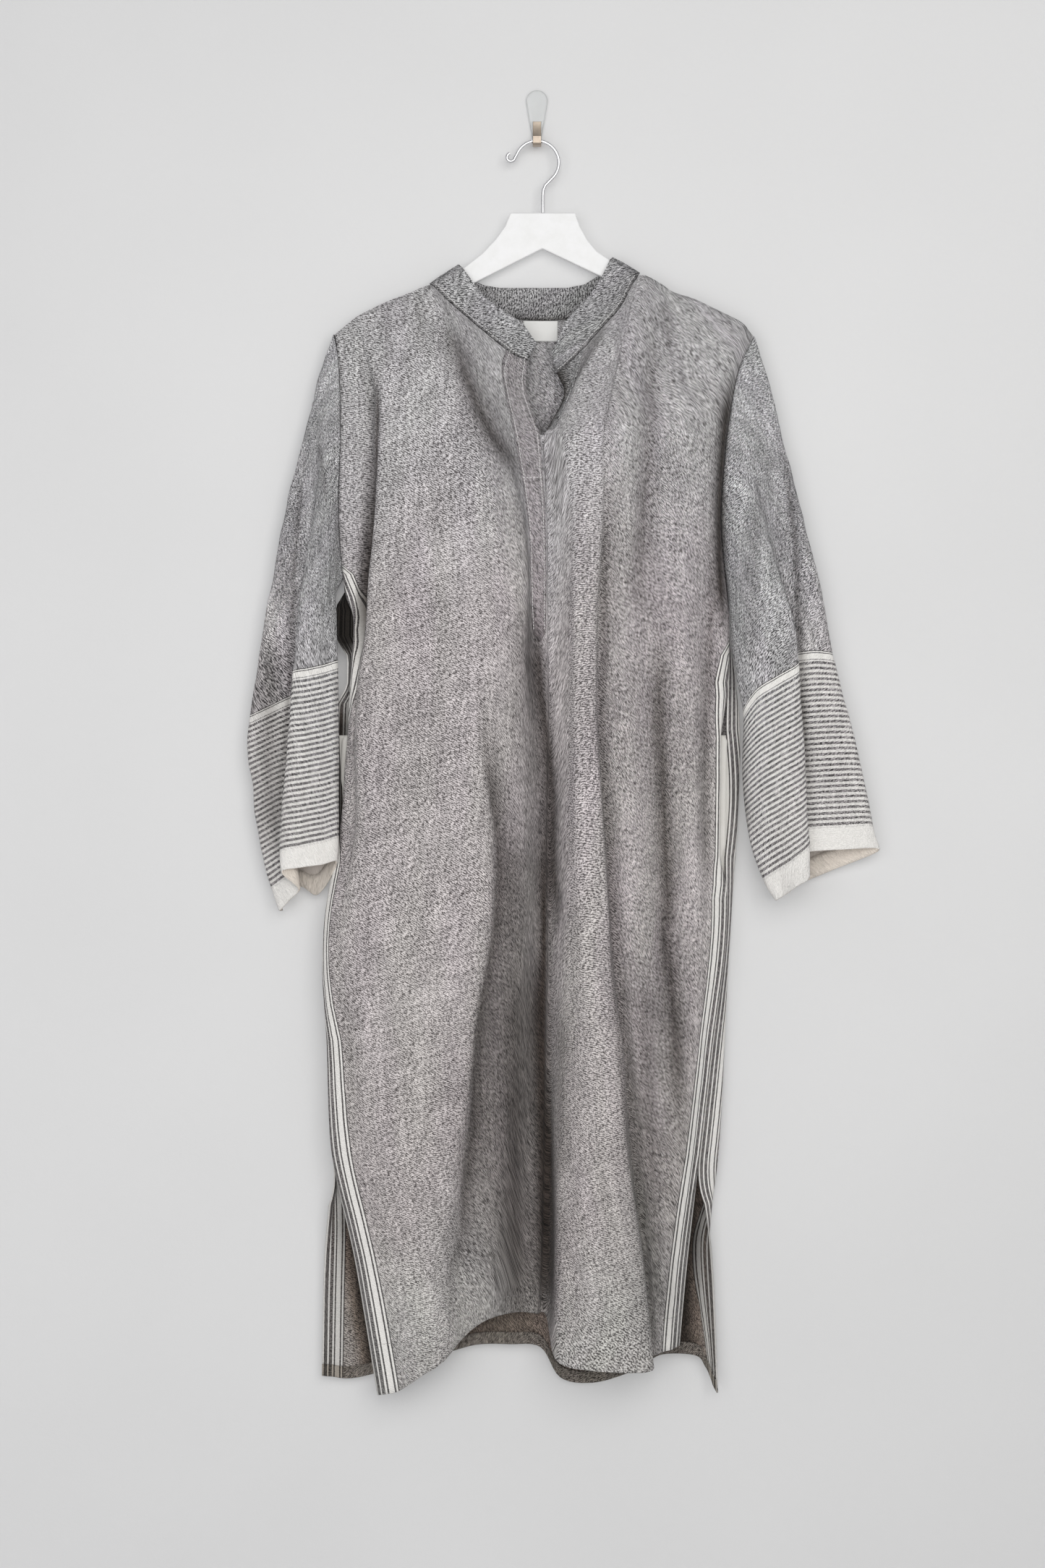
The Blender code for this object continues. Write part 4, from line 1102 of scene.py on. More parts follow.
@dataclass(frozen=True)
class TwillFinish:
    """Heathered grey twill, with the woven stripes of the borders and of the cuffs.

    crinkle is the bump's depth in metres, and groove_shade is how much shade is painted
    into its grooves, with painted light on its puffs. folded is the colour of the shade
    painted along the folds, if toned, and inside says how much of that painted shade
    lies everywhere. turned tints what is folded up inside: painted shade in the hems,
    the cuffs' cream on the sleeves. warm turns the painted shade brown.
    """

    name: str
    border: bool = False
    stripes: bool = False
    crinkle: float = 0.0011
    dark: tuple = (0.085, 0.080, 0.080, 1)
    light: tuple = (0.74, 0.735, 0.735, 1)
    white: tuple = (0.88, 0.86, 0.825, 1)
    black: tuple = (0.035, 0.033, 0.033, 1)
    folded: tuple = (0.085, 0.070, 0.060, 1)
    groove_shade: float = 0.84
    turned: tuple = (0.60, 0.58, 0.56, 1)
    toned: bool = True
    inside: float = 0.0
    warm: tuple = (1.0, 0.84, 0.72, 1)

    def tint_down_length(self, net: Net, place: Socket, colour: Socket) -> Socket:
        """Tints the cloth in bands down its length, darker and warmer towards the hem, and in patches.

        Args:
            net: adds the nodes.
            place: the place on the cloth.
            colour: the yarn's colour.

        Returns:
            The tinted colour.
        """
        down = net.math("DIVIDE", net.parts(place)[1], TINTED_LENGTH)
        wander = net.noise(net.stretch(place, 1, 0.35), 9)
        share = net.plus(down, net.times(net.minus(wander, 0.5), 0.16))
        band = net.add("ShaderNodeValToRGB", {"Fac": share})
        stops = band.color_ramp.elements
        for k, (place_down, tint) in enumerate(LENGTH_TINTS):
            element = stops[k] if k < 2 else stops.new(place_down)
            element.position = place_down
            element.color = (*tint, 1)
        patch = net.noise(net.stretch(place, 1, 0.2), 22)
        patchy = net.mix(net.span(patch, 0.35, 0.65), (1.0, 1.0, 0.985, 1), (1.0, 0.975, 0.995, 1))
        return net.tint(net.tint(colour, band.outputs[0]), patchy)

    def make(self) -> Material:
        """Makes the material.

        Returns:
            The material.
        """
        material, net, shader = start_material(self.name)
        place = net.uv("cloth")
        light, height = net.group("twill", Cloth=place)
        streak = net.noise(net.stretch(place, 1, 0.02), 260, 3, 0.7)
        band = net.noise(net.stretch(place, 0.025, 1), 150, 4, 0.75)
        cloud = net.times(net.noise(place, 7, 3), 0.8)
        tone = net.plus(net.plus(streak, band), cloud)
        lit = net.math("ADD", light, net.span(tone, 1.1, 1.7, -0.17, 0.17), clamp=True)
        colour = self.tint_down_length(net, place, net.mix(lit, self.dark, self.light))
        crinkle = net.group("crinkle", Cloth=place)[0]
        # Painted shade in the crinkle's grooves and painted light on its puffs
        colour = net.tint(colour, net.grey(net.span(crinkle, 0.75, 1.2, self.groove_shade, 1.15)))
        # The cloth's painted shade, and which rows are turned up inside
        folds = net.parts(net.uv("tone"))
        # On an inner side, painted shade turns brown where the folds are deeper
        if self.inside:
            shaded = net.tint(colour, self.warm)
            colour = net.mix(net.span(folds[0], 0.1, 0.6), colour, shaded)
        calm = 1.0
        if self.border or self.stripes:
            marks = net.parts(net.uv("border"))
            name, distance = ("border", marks[0]) if self.border else ("stripes", marks[1])
            white, dark = net.group(name, Distance=distance, Cloth=place)
            yarn = net.mix(lit, dimmed(self.white, 0.92), self.white)
            colour = net.mix(net.times(white, 0.93), colour, yarn)
            colour = net.mix(net.times(dark, 0.8), colour, self.black)
            if self.stripes:
                calm = net.span(white, 0, 1, 1, 0.4)
        # Turned-up rows: painted shade in the hems, the cuffs' cream on the sleeves
        colour = net.mix(folds[1], colour, net.tint(colour, self.turned))
        # Painted shade along the folds and in the hollows, with some everywhere on an inner side
        if self.toned:
            pressed = net.span(folds[0], 0, 1, self.inside, 1)
            colour = net.mix(pressed, colour, net.tint(colour, self.folded))
        relief = net.bump(crinkle, self.crinkle, calm)
        fine = net.add("ShaderNodeBump", {"Height": height, "Distance": 0.0003, "Normal": relief})
        net.fill(shader, {
            "Normal": fine.outputs[0], "Base Color": colour, "Roughness": 0.95,
            "Specular IOR Level": 0.2, "Sheen Weight": 0.08, "Sheen Roughness": 0.6,
        })
        return material


# The yarns of the plain and of the cuffs' cloth, darker and lighter than the body's
CRISP = {"dark": (0.05, 0.049, 0.05, 1), "light": (0.93, 0.935, 0.94, 1)}


@dataclass(frozen=True)
class CottonFinish:
    """Plain undyed cotton, for the bags, the label and the sewing thread."""

    name: str
    warm: tuple
    cool: tuple
    weave: float = 1500

    def make(self) -> Material:
        """Makes the material.

        Returns:
            The material.
        """
        material, net, shader = start_material(self.name)
        place = net.place()
        yarn = net.noise(place, self.weave, 2, 0.6)
        patch = net.noise(place, 18, 3)
        share = net.plus(net.times(yarn, 0.6), net.times(patch, 0.5))
        net.fill(shader, {
            "Base Color": net.mix(net.span(share, 0.3, 0.8), self.warm, self.cool),
            "Normal": net.bump(net.plus(yarn, patch), 0.0003),
            "Roughness": 0.9,
            "Specular IOR Level": 0.2,
        })
        return material


@dataclass(frozen=True)
class HardFinish:
    """A painted or plated surface with fine wear."""

    name: str
    colour: tuple
    worn: tuple
    rough: float
    metallic: float = 0.0
    grain: tuple = (1, 1, 1)
    depth: float = 0.00005

    def make(self) -> Material:
        """Makes the material.

        Returns:
            The material.
        """
        material, net, shader = start_material(self.name)
        place = net.place()
        fine = net.noise(net.stretch(place, *self.grain), 900, 3, 0.6)
        broad = net.noise(place, 60, 3, 0.6)
        net.fill(shader, {
            "Base Color": net.mix(net.span(broad, 0.4, 0.75), self.colour, self.worn),
            "Roughness": net.span(fine, 0.3, 0.7, self.rough * 0.8, self.rough * 1.25),
            "Metallic": self.metallic,
            "Normal": net.bump(fine, self.depth, 0.6),
        })
        return material


@dataclass(frozen=True)
class ClearFinish:
    """Clear moulded plastic."""

    name: str

    def make(self) -> Material:
        """Makes the material.

        Returns:
            The material.
        """
        material, net, shader = start_material(self.name)
        haze = net.noise(net.place(), 160)
        net.fill(shader, {
            "Base Color": (0.93, 0.94, 0.94, 1), "Transmission Weight": 0.85, "IOR": 1.47,
            "Roughness": net.span(haze, 0.3, 0.7, 0.08, 0.2),
            "Normal": net.bump(haze, 0.0001, 0.4),
        })
        return material


@dataclass(frozen=True)
class PlasterFinish:
    """Pale wall paint, open from behind. Where asked, light from behind passes it too."""

    name: str
    lets_light_through: bool = False
    colour: tuple = (0.70, 0.70, 0.70, 1)

    def make(self) -> Material:
        """Makes the material.

        Returns:
            The material.
        """
        material, net, shader = start_material(self.name)
        place = net.place()
        roller, broad = net.noise(place, 260, 3, 0.6), net.noise(place, 2.5)
        low = dimmed(self.colour, 0.965)
        net.fill(shader, {
            "Base Color": net.mix(net.span(broad, 0.3, 0.7), low, self.colour),
            "Roughness": 0.85,
            "Normal": net.bump(roller, 0.0004, 0.35),
        })
        behind = net.add("ShaderNodeNewGeometry").outputs["Backfacing"]
        if self.lets_light_through:
            path = net.add("ShaderNodeLightPath").outputs
            for ray in ("Is Shadow Ray", "Is Diffuse Ray"):
                behind = net.math("MAXIMUM", behind, path[ray])
        clear = net.add("ShaderNodeBsdfTransparent").outputs[0]
        seen = net.add("ShaderNodeMixShader", {0: behind, 1: shader.outputs[0], 2: clear}).outputs[0]
        net.feed(material.node_tree.nodes["Material Output"].inputs["Surface"], seen)
        return material


def fold_line(top: Point, yoke: Point, across: Sequence, outs: Sequence, hem: Point, turn_out: float) -> Grid:
    """Follows one fold from the shoulder or neck down to the hem.

    Args:
        top: where the fold starts.
        yoke: where it passes below the shoulder.
        across: its x at each station.
        outs: its depth at each station.
        hem: where it ends.
        turn_out: the depth at which the cloth leaves the shoulder.

    Returns:
        The points down the fold.
    """
    on_shoulder = abs(top[2] - SHOULDER_OUT) < 1
    neck_turn = top[2] + math.copysign(NECK_TURN, turn_out - SHOULDER_OUT)
    turn = (top[0], top[1] - TURN_DROP, turn_out if on_shoulder else neck_turn)
    chest = (across[0], STATIONS[0], outs[0])
    upper = smooth_path((turn, yoke, chest), YOKE_STEPS)
    lower = smooth_path([*zip(across, STATIONS, outs), hem], LENGTH_STEPS)
    return np.vstack([top, upper, lower[1:]])


def column_of(line: int) -> int:
    """Gives the grid column of a fold line, counting the seam's own column."""
    return 1 + line * FOLD_STEPS


def row_marks(yoke_steps: int, length_steps: int) -> Grid:
    """Numbers the rows of a panel by the stretch of the fold tables that they lie in."""
    lower = 3 + np.arange(1, len(STATIONS) * length_steps + 1) / length_steps
    return np.r_[0, 1 + np.arange(2 * yoke_steps + 1) / yoke_steps, lower]


def share_of_rows(heights: Grid, test: Callable[[Grid], Grid]) -> Grid:
    """Blends a yes or no, told at a few rows of a panel, over all of its rows.

    Args:
        heights: the height of each row at the seam.
        test: says yes or no from the heights.

    Returns:
        A share from 0 to 1 for each row.
    """
    marks = row_marks(YOKE_STEPS, LENGTH_STEPS)
    few = row_marks(COARSE_YOKE, COARSE_LENGTH)
    told = test(np.interp(few, marks, heights)).astype(float)
    return np.interp(marks, few, told)


def follow_seam(back_line: Grid, front_line: Grid, armpit_z: float, gape: float) -> Grid:
    """Lays the back's side seam behind the front's, and opens the pocket's mouth.

    Args:
        back_line: the back's own edge.
        front_line: the front's edge.
        armpit_z: where the seam starts.
        gape: how far the pocket's mouth stands open.

    Returns:
        The back's edge, tied to the front's between armpit and slit.
    """
    heights = front_line[:, 1]
    tie = share_of_rows(heights, lambda z: (z <= armpit_z) & (z >= STATIONS[SLIT_TOP_STATION] - 0.5))
    share = np.clip((POCKET_MOUTH[0] - heights) / (POCKET_MOUTH[0] - POCKET_MOUTH[1]), 0, 1)
    mouth = np.sin(math.pi * share)
    tied = front_line - (0, 0, SEAM_DEPTH)
    tied[:, 0] += gape * mouth
    tied[:, 2] -= gape / POCKET_GAPE * POCKET_GAPE_BACK * mouth
    return back_line + (tied - back_line) * tie[:, None]


def roll_at_seam(edge: Grid, beside: Grid, armpit_z: float, outward: int, depth_sign: int) -> Grid:
    """Finds the line just inside a side seam, where the cloth leaves the seam along the depth.

    Args:
        edge: the seam.
        beside: the next fold line in.
        armpit_z: where the seam starts.
        outward: 1 on the right side, -1 on the left.
        depth_sign: 1 for the front, -1 for the back.

    Returns:
        The line.
    """
    rolled = edge + (beside - edge) * SIDE_SHARE
    under = edge + (-SIDE_INSET * outward, 0, depth_sign * SIDE_ROLL)
    low, high = STATIONS[SLIT_TOP_STATION] - 1, armpit_z
    seam = share_of_rows(edge[:, 1], lambda z: (z < high) & (z > low))
    step = (beside[:, 0] - edge[:, 0]) * outward
    inside = np.clip((2.5 - step) / 3, 0, 1)
    return rolled + (under - rolled) * (seam * inside)[:, None]


def panel_grid(lines: list[Grid], depth_sign: int) -> Grid:
    """Spans the fold lines with rows across the panel.

    Args:
        lines: the fold lines, from left to right.
        depth_sign: 1 for the front, -1 for the back.

    Returns:
        The panel's points.
    """
    roll_a = roll_at_seam(lines[0], lines[1], ARMPIT_LEFT, -1, depth_sign)
    roll_b = roll_at_seam(lines[-1], lines[-2], ARMPIT_RIGHT, 1, depth_sign)
    inner = smooth_path(np.array([roll_a, *lines[1:-1], roll_b]), FOLD_STEPS)
    return np.concatenate([lines[0][None], inner, lines[-1][None]]).transpose(1, 0, 2)


def look_up(table: Sequence[tuple[float, float]], heights: Grid) -> Grid:
    """Reads a table of falling heights and values at the heights given."""
    high, values = zip(*table[::-1])
    return np.interp(heights, high, values)


def panel_cloth(points: Grid, outward: int, cut_in: Sequence = (((0, 0),), ((0, 0),))) -> Cloth:
    """Measures a panel along its yarns.

    Args:
        points: the panel's points.
        outward: 1 for the front, -1 for the back.
        cut_in: how far its left and its right seam lie inside the woven edge, as
            tables of height and distance.

    Returns:
        The cloth.
    """
    across = run_length(points, 1)
    left, right = (look_up(table, points[:, column, 1]) for column, table in ((0, cut_in[0]), (-1, cut_in[1])))
    spread = look_up(LEFT_BORDER_SPREAD, points[:, 0, 1]) if outward > 0 else np.ones(len(points))
    edge = np.minimum((across + left[:, None]) / spread[:, None], across[:, -1:] - across + right[:, None])
    return Cloth(points, across, run_length(points, 0), edge, np.full_like(edge, FAR), outward)


def seam_fade(cloth: Cloth, reach: float) -> Grid:
    """Gives a share that falls to nothing at a panel's top and side edges."""
    beside = np.minimum(cloth.across, cloth.across[:, -1:] - cloth.across)
    return np.clip(cloth.down / reach, 0, 1) * np.clip(beside / reach, 0, 1)


@dataclass
class Panel:
    """The front or the back: one length of twill from the shoulder to the hem."""

    name: str
    folds: Sequence
    turn_out: float
    outward: int
    creases_and_shade: Sequence[Fold]
    crumple: float
    hem: float
    cut_in: Sequence
    wall: float = CLOTH
    hem_gap: float = 0.4

    def lines(self) -> list[Grid]:
        """Follows each fold of the table."""
        return [fold_line(*row[1:], self.turn_out) for row in self.folds]

    def drape(self, lines: list[Grid], seed: int) -> Cloth:
        """Spans the folds, presses the creases in and paints shade into the front's hollows and along the creases.

        Args:
            lines: the fold lines.
            seed: the crumple's seed.

        Returns:
            The draped cloth.
        """
        cloth = panel_cloth(panel_grid(lines, self.outward), self.outward, self.cut_in)
        if self.outward > 0:
            cloth.shade_hollows(16, 20, 0.6)
        lift = -cloth.press(self.creases_and_shade)
        broad, fine = Ripple(seed), Ripple(seed + 1)
        u, v = cloth.across, cloth.down
        lift = lift + self.crumple * broad.at(u / 34 + 0.3 * broad.at(u / 90, v / 120), v / 62)
        lift = lift + 0.35 * self.crumple * fine.at(u / 13, v / 21)
        cloth.points = cloth.lifted(lift * seam_fade(cloth, 14))
        return cloth

    def build(self, cloth: Cloth, finish: Material, inside: Material, hole: Callable | None = None) -> Piece:
        """Makes the panel with its turned-up hem."""
        hemmed = cloth.with_hem(self.hem, self.wall, self.hem_gap, 6)
        return hemmed.build(self.name, self.wall, finish, inside, hole)


def in_opening(row: Grid, column: Grid) -> Grid:
    """Tells which faces of the front lie in the neck opening."""
    first, last = column_of(OPENING_A), column_of(OPENING_B)
    return (row < 1 + 2 * YOKE_STEPS) & (first <= column) & (column < last)


@dataclass
class Sleeve:
    """A long straight sleeve with its striped end and cream hem band."""

    name: str
    side: Side
    rings: Sequence
    armpit_z: float
    seed: int
    creases_and_shade: Sequence[Fold]
    wall: float = CLOTH
    crumple: float = 1.1
    hem: float = 22

    def armhole(self, front: Grid, back: Grid) -> Grid:
        """Follows the seam round the armhole.

        Args:
            front: the front's points.
            back: the back's points.

        Returns:
            The ring, up the front edge to the shoulder and down the back edge.
        """
        column = 0 if self.side is Side.LEFT else -1
        halves = []
        for grid, top_first in ((front, False), (back, True)):
            edge = grid[:, column]
            above = edge[edge[:, 1] > self.armpit_z]
            below = edge[edge[:, 1] <= self.armpit_z][0]
            share = (above[-1][1] - self.armpit_z) / (above[-1][1] - below[1])
            whole = np.vstack([above, above[-1] + (below - above[-1]) * share])
            halves.append(whole if top_first else whole[::-1])
        up = resample(halves[0], FRONT_RING_SPANS * RING_STEPS + 1)
        down = resample(halves[1], REAR_RING_SPANS * RING_STEPS + 1)
        up[0] = (up[0] + down[-1]) / 2
        up[-1] = (up[-1] + down[0]) / 2
        ring = np.vstack([up, down[1:-1]])
        tip = np.exp(-((up[-1][1] - ring[:, 1]) / TIP_FADE) ** 2)
        ring[:, 0] += self.side.value * (SEAM_GAP + TIP_GAP * tip)
        return ring

    def drape(self, front: Grid, back: Grid) -> Cloth:
        """Lofts the sleeve's rings, presses its creases in and paints shade into its hollows and along its
        creases.

        Args:
            front: the front's points.
            back: the back's points.

        Returns:
            The draped cloth.
        """
        rings = [self.armhole(front, back)] + [smooth_loop(row[1:], RING_STEPS) for row in self.rings]
        points = smooth_path(np.array(rings), SLEEVE_STEPS)
        ring_loop = np.concatenate([points, points[:, :1]], axis=1)
        across, down = run_length(ring_loop, 1)[:, :-1], run_length(points, 0)
        names = [row[0] for row in self.rings]
        marks = {name: down[(1 + names.index(name)) * SLEEVE_STEPS] for name in ("stripe", "band", "cuff")}
        cuff = marks["cuff"] - down
        band, stripe = marks["cuff"] - marks["band"], marks["cuff"] - marks["stripe"]
        low = cuff / band * CUFF_BAND
        middle = CUFF_BAND + (cuff - band) / (stripe - band) * (STRIPED_TO - CUFF_BAND)
        high = STRIPED_TO + cuff - stripe
        cuff_mark = np.where(cuff < band, low, np.where(cuff < stripe, middle, high))
        cloth = Cloth(points, across, down, np.full_like(down, FAR), cuff_mark, self.side.value, closed=True)
        fade = np.clip(down / 16, 0, 1) * np.clip((down[-1] - down) / 10, 0.3, 1)
        cloth.shade_hollows(9, 9, SLEEVE_HOLLOW_SHADE)
        lift = -cloth.press(self.creases_and_shade, np.clip(points[..., 2] / 8 - 1.5, 0, 1))
        broad, fine = Ripple(self.seed), Ripple(self.seed + 1)
        width = across[:, -1:] + 6
        cells = 16
        u = across / width * cells
        wave = broad.at(u + 0.5 * broad.at(u / 3, down / 70), down / 26)
        wave = wave * (1 - np.clip((u - cells + 1.5) / 1.5, 0, 1)) * np.clip(u / 1.5, 0, 1)
        small = fine.at(u * 3, down / 10) * (1 - np.clip(u - cells + 1, 0, 1)) * np.clip(u, 0, 1)
        cloth.points = cloth.lifted((lift + self.crumple * wave + 0.35 * self.crumple * small) * fade)
        return cloth

    def build(self, cloth: Cloth, finish: Material, inside: Material) -> Piece:
        """Makes the sleeve with its turned-up hem."""
        return cloth.with_hem(self.hem, self.wall, 0.3, 5).build(self.name, self.wall, finish, inside)


@dataclass
class Collar:
    """The standing band on the neck seam, open at the front."""

    wall: float = COLLAR_CLOTH
    finer: int = 4
    rows: int = 12
    bulge: float = 0.5

    def drape(self, front: Grid, back: Grid) -> Cloth:
        """Stands the band on the neck seam.

        Args:
            front: the front's points.
            back: the back's points.

        Returns:
            The band's cloth.
        """
        left = front[0, column_of(FIRST_NECK_LINE):column_of(OPENING_A) + 1][::-1]
        behind = back[0, column_of(BACK_NECK_LINES[0]):column_of(BACK_NECK_LINES[1]) + 1]
        right = front[0, column_of(OPENING_B):column_of(LAST_NECK_LINE) + 1][::-1]
        a, b = COLLAR_CORNERS
        ends = (COLLAR_FRONT_COLUMNS - 1) * self.finer + 1
        middle = (COLLAR_BACK_COLUMNS - 1) * self.finer + 1
        stretches = (
            (left, COLLAR_TOP[:a], ends),
            ([NECK_CORNER_A], COLLAR_TOP[a:a + 1], 1),
            (behind, COLLAR_TOP[a + 1:b], middle),
            ([NECK_CORNER_B], COLLAR_TOP[b:b + 1], 1),
            (right, COLLAR_TOP[b + 1:], ends),
        )
        foot = np.vstack([resample(seam, count) for seam, _, count in stretches])
        top = np.vstack([resample(edge, count) for _, edge, count in stretches])
        rise = top - foot
        foot = foot + rise / np.linalg.norm(rise, axis=1, keepdims=True) * SEAM_GAP
        share = np.linspace(0, 1, self.rows)[:, None, None]
        points = top + (foot - top) * share
        far = np.full(points.shape[:2], FAR)
        cloth = Cloth(points, run_length(points, 1), run_length(points, 0), far, far, -1)
        low = share[..., 0]
        seam = np.exp(-((1 - low) * self.rows / 1.2) ** 2)
        # Painted shade: a little over the whole band, more towards its foot, on its part behind the neck and along
        # the neck seam
        cloth.tone = 0.12 + 0.14 * low + 0.22 * (points[..., 2] < SHOULDER_OUT) + 0.4 * seam
        fade = np.sin(math.pi * low)
        wave = Ripple(71).at(cloth.across / 17, cloth.down / 15) * 0.5
        cloth.points = cloth.lifted(fade * (self.bulge + wave))
        return cloth

    def build(self, cloth: Cloth, finish: Material) -> Piece:
        """Makes the band."""
        return cloth.build("collar", self.wall, finish)


@dataclass
class Placket:
    """The strip on the opening's upper edge, down to its stitched point."""

    wall: float = STRIP_CLOTH
    point_z: float = -598
    taper: float = 13
    tip_share: float = 0.12

    def drape(self, front: Cloth) -> Cloth:
        """Lays the strip on the front.

        Args:
            front: the front's cloth.

        Returns:
            The strip's cloth.
        """
        first, last = column_of(OPENING_A - 1), column_of(OPENING_A)
        under = front.points[1:, first:last + 1]
        strip = under + grid_normals(under) * (LAY_GAP + self.wall)
        kept = strip[:, 0, 1] > self.point_z
        strip, tone = strip[kept], front.tone[1:, first:last + 1][kept]
        above = (strip[..., 1] - self.point_z).clip(0)
        width = np.clip(above[:, :1] / self.taper, self.tip_share, 1)[..., None]
        middle = strip.mean(axis=1, keepdims=True)
        cloth = panel_cloth(middle + (strip - middle) * width, 1)
        # The strip keeps the shade painted into the front beneath it
        cloth.tone = tone
        cloth.edge = cloth.edge + FAR
        return cloth

    def build(self, cloth: Cloth, finish: Material) -> Piece:
        """Makes the strip."""
        return cloth.build("placket_left", self.wall, finish)


@dataclass
class UnderPlacket:
    """The strip on the opening's other edge, tucked beside the first."""

    wall: float = STRIP_CLOTH

    def drape(self, front: Grid) -> Cloth:
        """Lays the strip on the front's edge.

        Args:
            front: the front's points.

        Returns:
            The strip's cloth.
        """
        first = column_of(OPENING_B)
        under = front[1:1 + 2 * YOKE_STEPS, first:first + FOLD_STEPS // 2 + 1]
        cloth = panel_cloth(under + grid_normals(under) * (LAY_GAP + self.wall), 1)
        # Painted shade: the strip lies under the opening's right fold, darkest at the opening's edge
        cloth.tone = cloth.tone + np.linspace(1, 0.4, cloth.points.shape[1]) ** 2
        return cloth

    def build(self, cloth: Cloth, finish: Material) -> Piece:
        """Makes the strip."""
        return cloth.build("placket_right", self.wall, finish)


@dataclass
class PocketBag:
    """A flat cotton bag in a side seam, folded at its inner side."""

    name: str
    side: Side
    wall: float = BAG_CLOTH
    rows: int = 64
    columns: int = 72

    def drape(self, front_seam: Grid, back_seam: Grid) -> Cloth:
        """Hangs the bag inside the seam.

        Args:
            front_seam: the front's side edge.
            back_seam: the back's side edge.

        Returns:
            The bag's cloth.
        """
        side = self.side.value
        rows = []
        for z in np.linspace(POCKET_TOP_Z, POCKET_BOTTOM_Z, self.rows):
            front_edge, back_edge = (
                np.interp(z, seam[::-1, 1], seam[::-1, 0]) - side * POCKET_SIDE_GAPS[side]
                for seam in (front_seam, back_seam)
            )
            share = (POCKET_TOP_Z - z) / (POCKET_TOP_Z - POCKET_BOTTOM_Z)
            reach = POCKET_DEPTH * (POCKET_END_SHARE + (1 - POCKET_END_SHARE) * math.sin(math.pi * share))
            inner = front_edge - side * reach
            peep = side * float(look_up(BAG_PEEPS[side], z))
            front_edge += peep
            if self.side is Side.LEFT:
                back_edge += peep / 2
            middle = (POCKET_OUT_FRONT + POCKET_OUT_BACK) / 2
            path = (
                (front_edge, z, POCKET_OUT_FRONT), (inner, z, POCKET_OUT_FRONT),
                (inner - side * POCKET_FOLD, z, middle),
                (inner, z, POCKET_OUT_BACK), (back_edge, z, POCKET_OUT_BACK),
            )
            rows.append(resample(path, self.columns))
        points = np.array(rows)
        cloth = panel_cloth(points, -side)
        wave = Ripple(90 + side).at(cloth.across / 22, cloth.down / 30) * 0.35
        cloth.points = cloth.lifted(wave * np.clip(cloth.edge / 8, 0, 1))
        return cloth

    def build(self, cloth: Cloth, finish: Material) -> Piece:
        """Makes the bag."""
        return cloth.build(self.name, self.wall, finish, slot="white_cloth")


@dataclass
class Label:
    """The small woven tag at the back of the neck, left bare."""

    size: tuple = LABEL_SIZE
    centre: tuple = LABEL_CENTRE
    thick: float = LABEL_THICK

    def build(self, finish: Material) -> Piece:
        """Lays the tag just in front of the back.

        Args:
            finish: its material.

        Returns:
            The piece.
        """
        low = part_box("label")[0]
        width, height = self.size
        u, v = np.meshgrid(np.linspace(-0.5, 0.5, 24), np.linspace(0.5, -0.5, 16))
        out = -low[1] / MM - 0.25 * np.cos(math.pi * v) * np.cos(6 * u) ** 2 * 0.4
        points = np.stack([self.centre[0] + u * width, self.centre[1] + v * height, out], axis=2)
        return panel_cloth(points, 1).build("label", self.thick, finish, slot="white_cloth")


def flat_mesh(name: str, outline: Sequence, thick: float, place: Callable[[float, float, float], Point],
              bevel: float, finish: Material) -> Piece:
    """Makes a flat moulded piece with softened edges.

    Args:
        name: the piece's name.
        outline: the outline's points.
        thick: its thickness.
        place: turns the outline's two coordinates and a depth into (x, z, out).
        bevel: how wide the softened edges are.
        finish: its material.

    Returns:
        The piece.
    """
    count = len(outline)
    spots = [place(a, b, depth) for depth in (thick / 2, -thick / 2) for a, b in outline]
    faces = [tuple(range(count)), tuple(range(2 * count - 1, count - 1, -1))]
    faces += [(k, count + k, count + (k + 1) % count, (k + 1) % count) for k in range(count)]
    mesh = bpy.data.meshes.new(name)
    mesh.from_pydata([(x * MM, -out * MM, z * MM) for x, z, out in spots], [], faces)
    volume = sum(mesh.vertices[p.vertices[0]].co.dot(p.normal) * p.area for p in mesh.polygons)
    if volume < 0:
        mesh.flip_normals()
    mesh.materials.append(finish)
    piece = add_piece(name, mesh)
    soft = piece.modifiers.new("soft edges", "BEVEL")
    soft.width = bevel * MM
    soft.segments = 3
    soft.limit_method = "ANGLE"
    soft.angle_limit = math.radians(50)
    soft.use_clamp_overlap = True
    mesh.shade_smooth()
    mesh.set_sharp_from_angle(angle=math.radians(40))
    return piece


def arc(centre: tuple, radius: float, sweep: tuple, steps: int) -> list:
    """Gives points round a circle; the angles are in degrees."""
    angles = np.radians(np.linspace(*sweep, steps + 1))
    return [(centre[0] + radius * math.cos(a), centre[1] + radius * math.sin(a)) for a in angles]


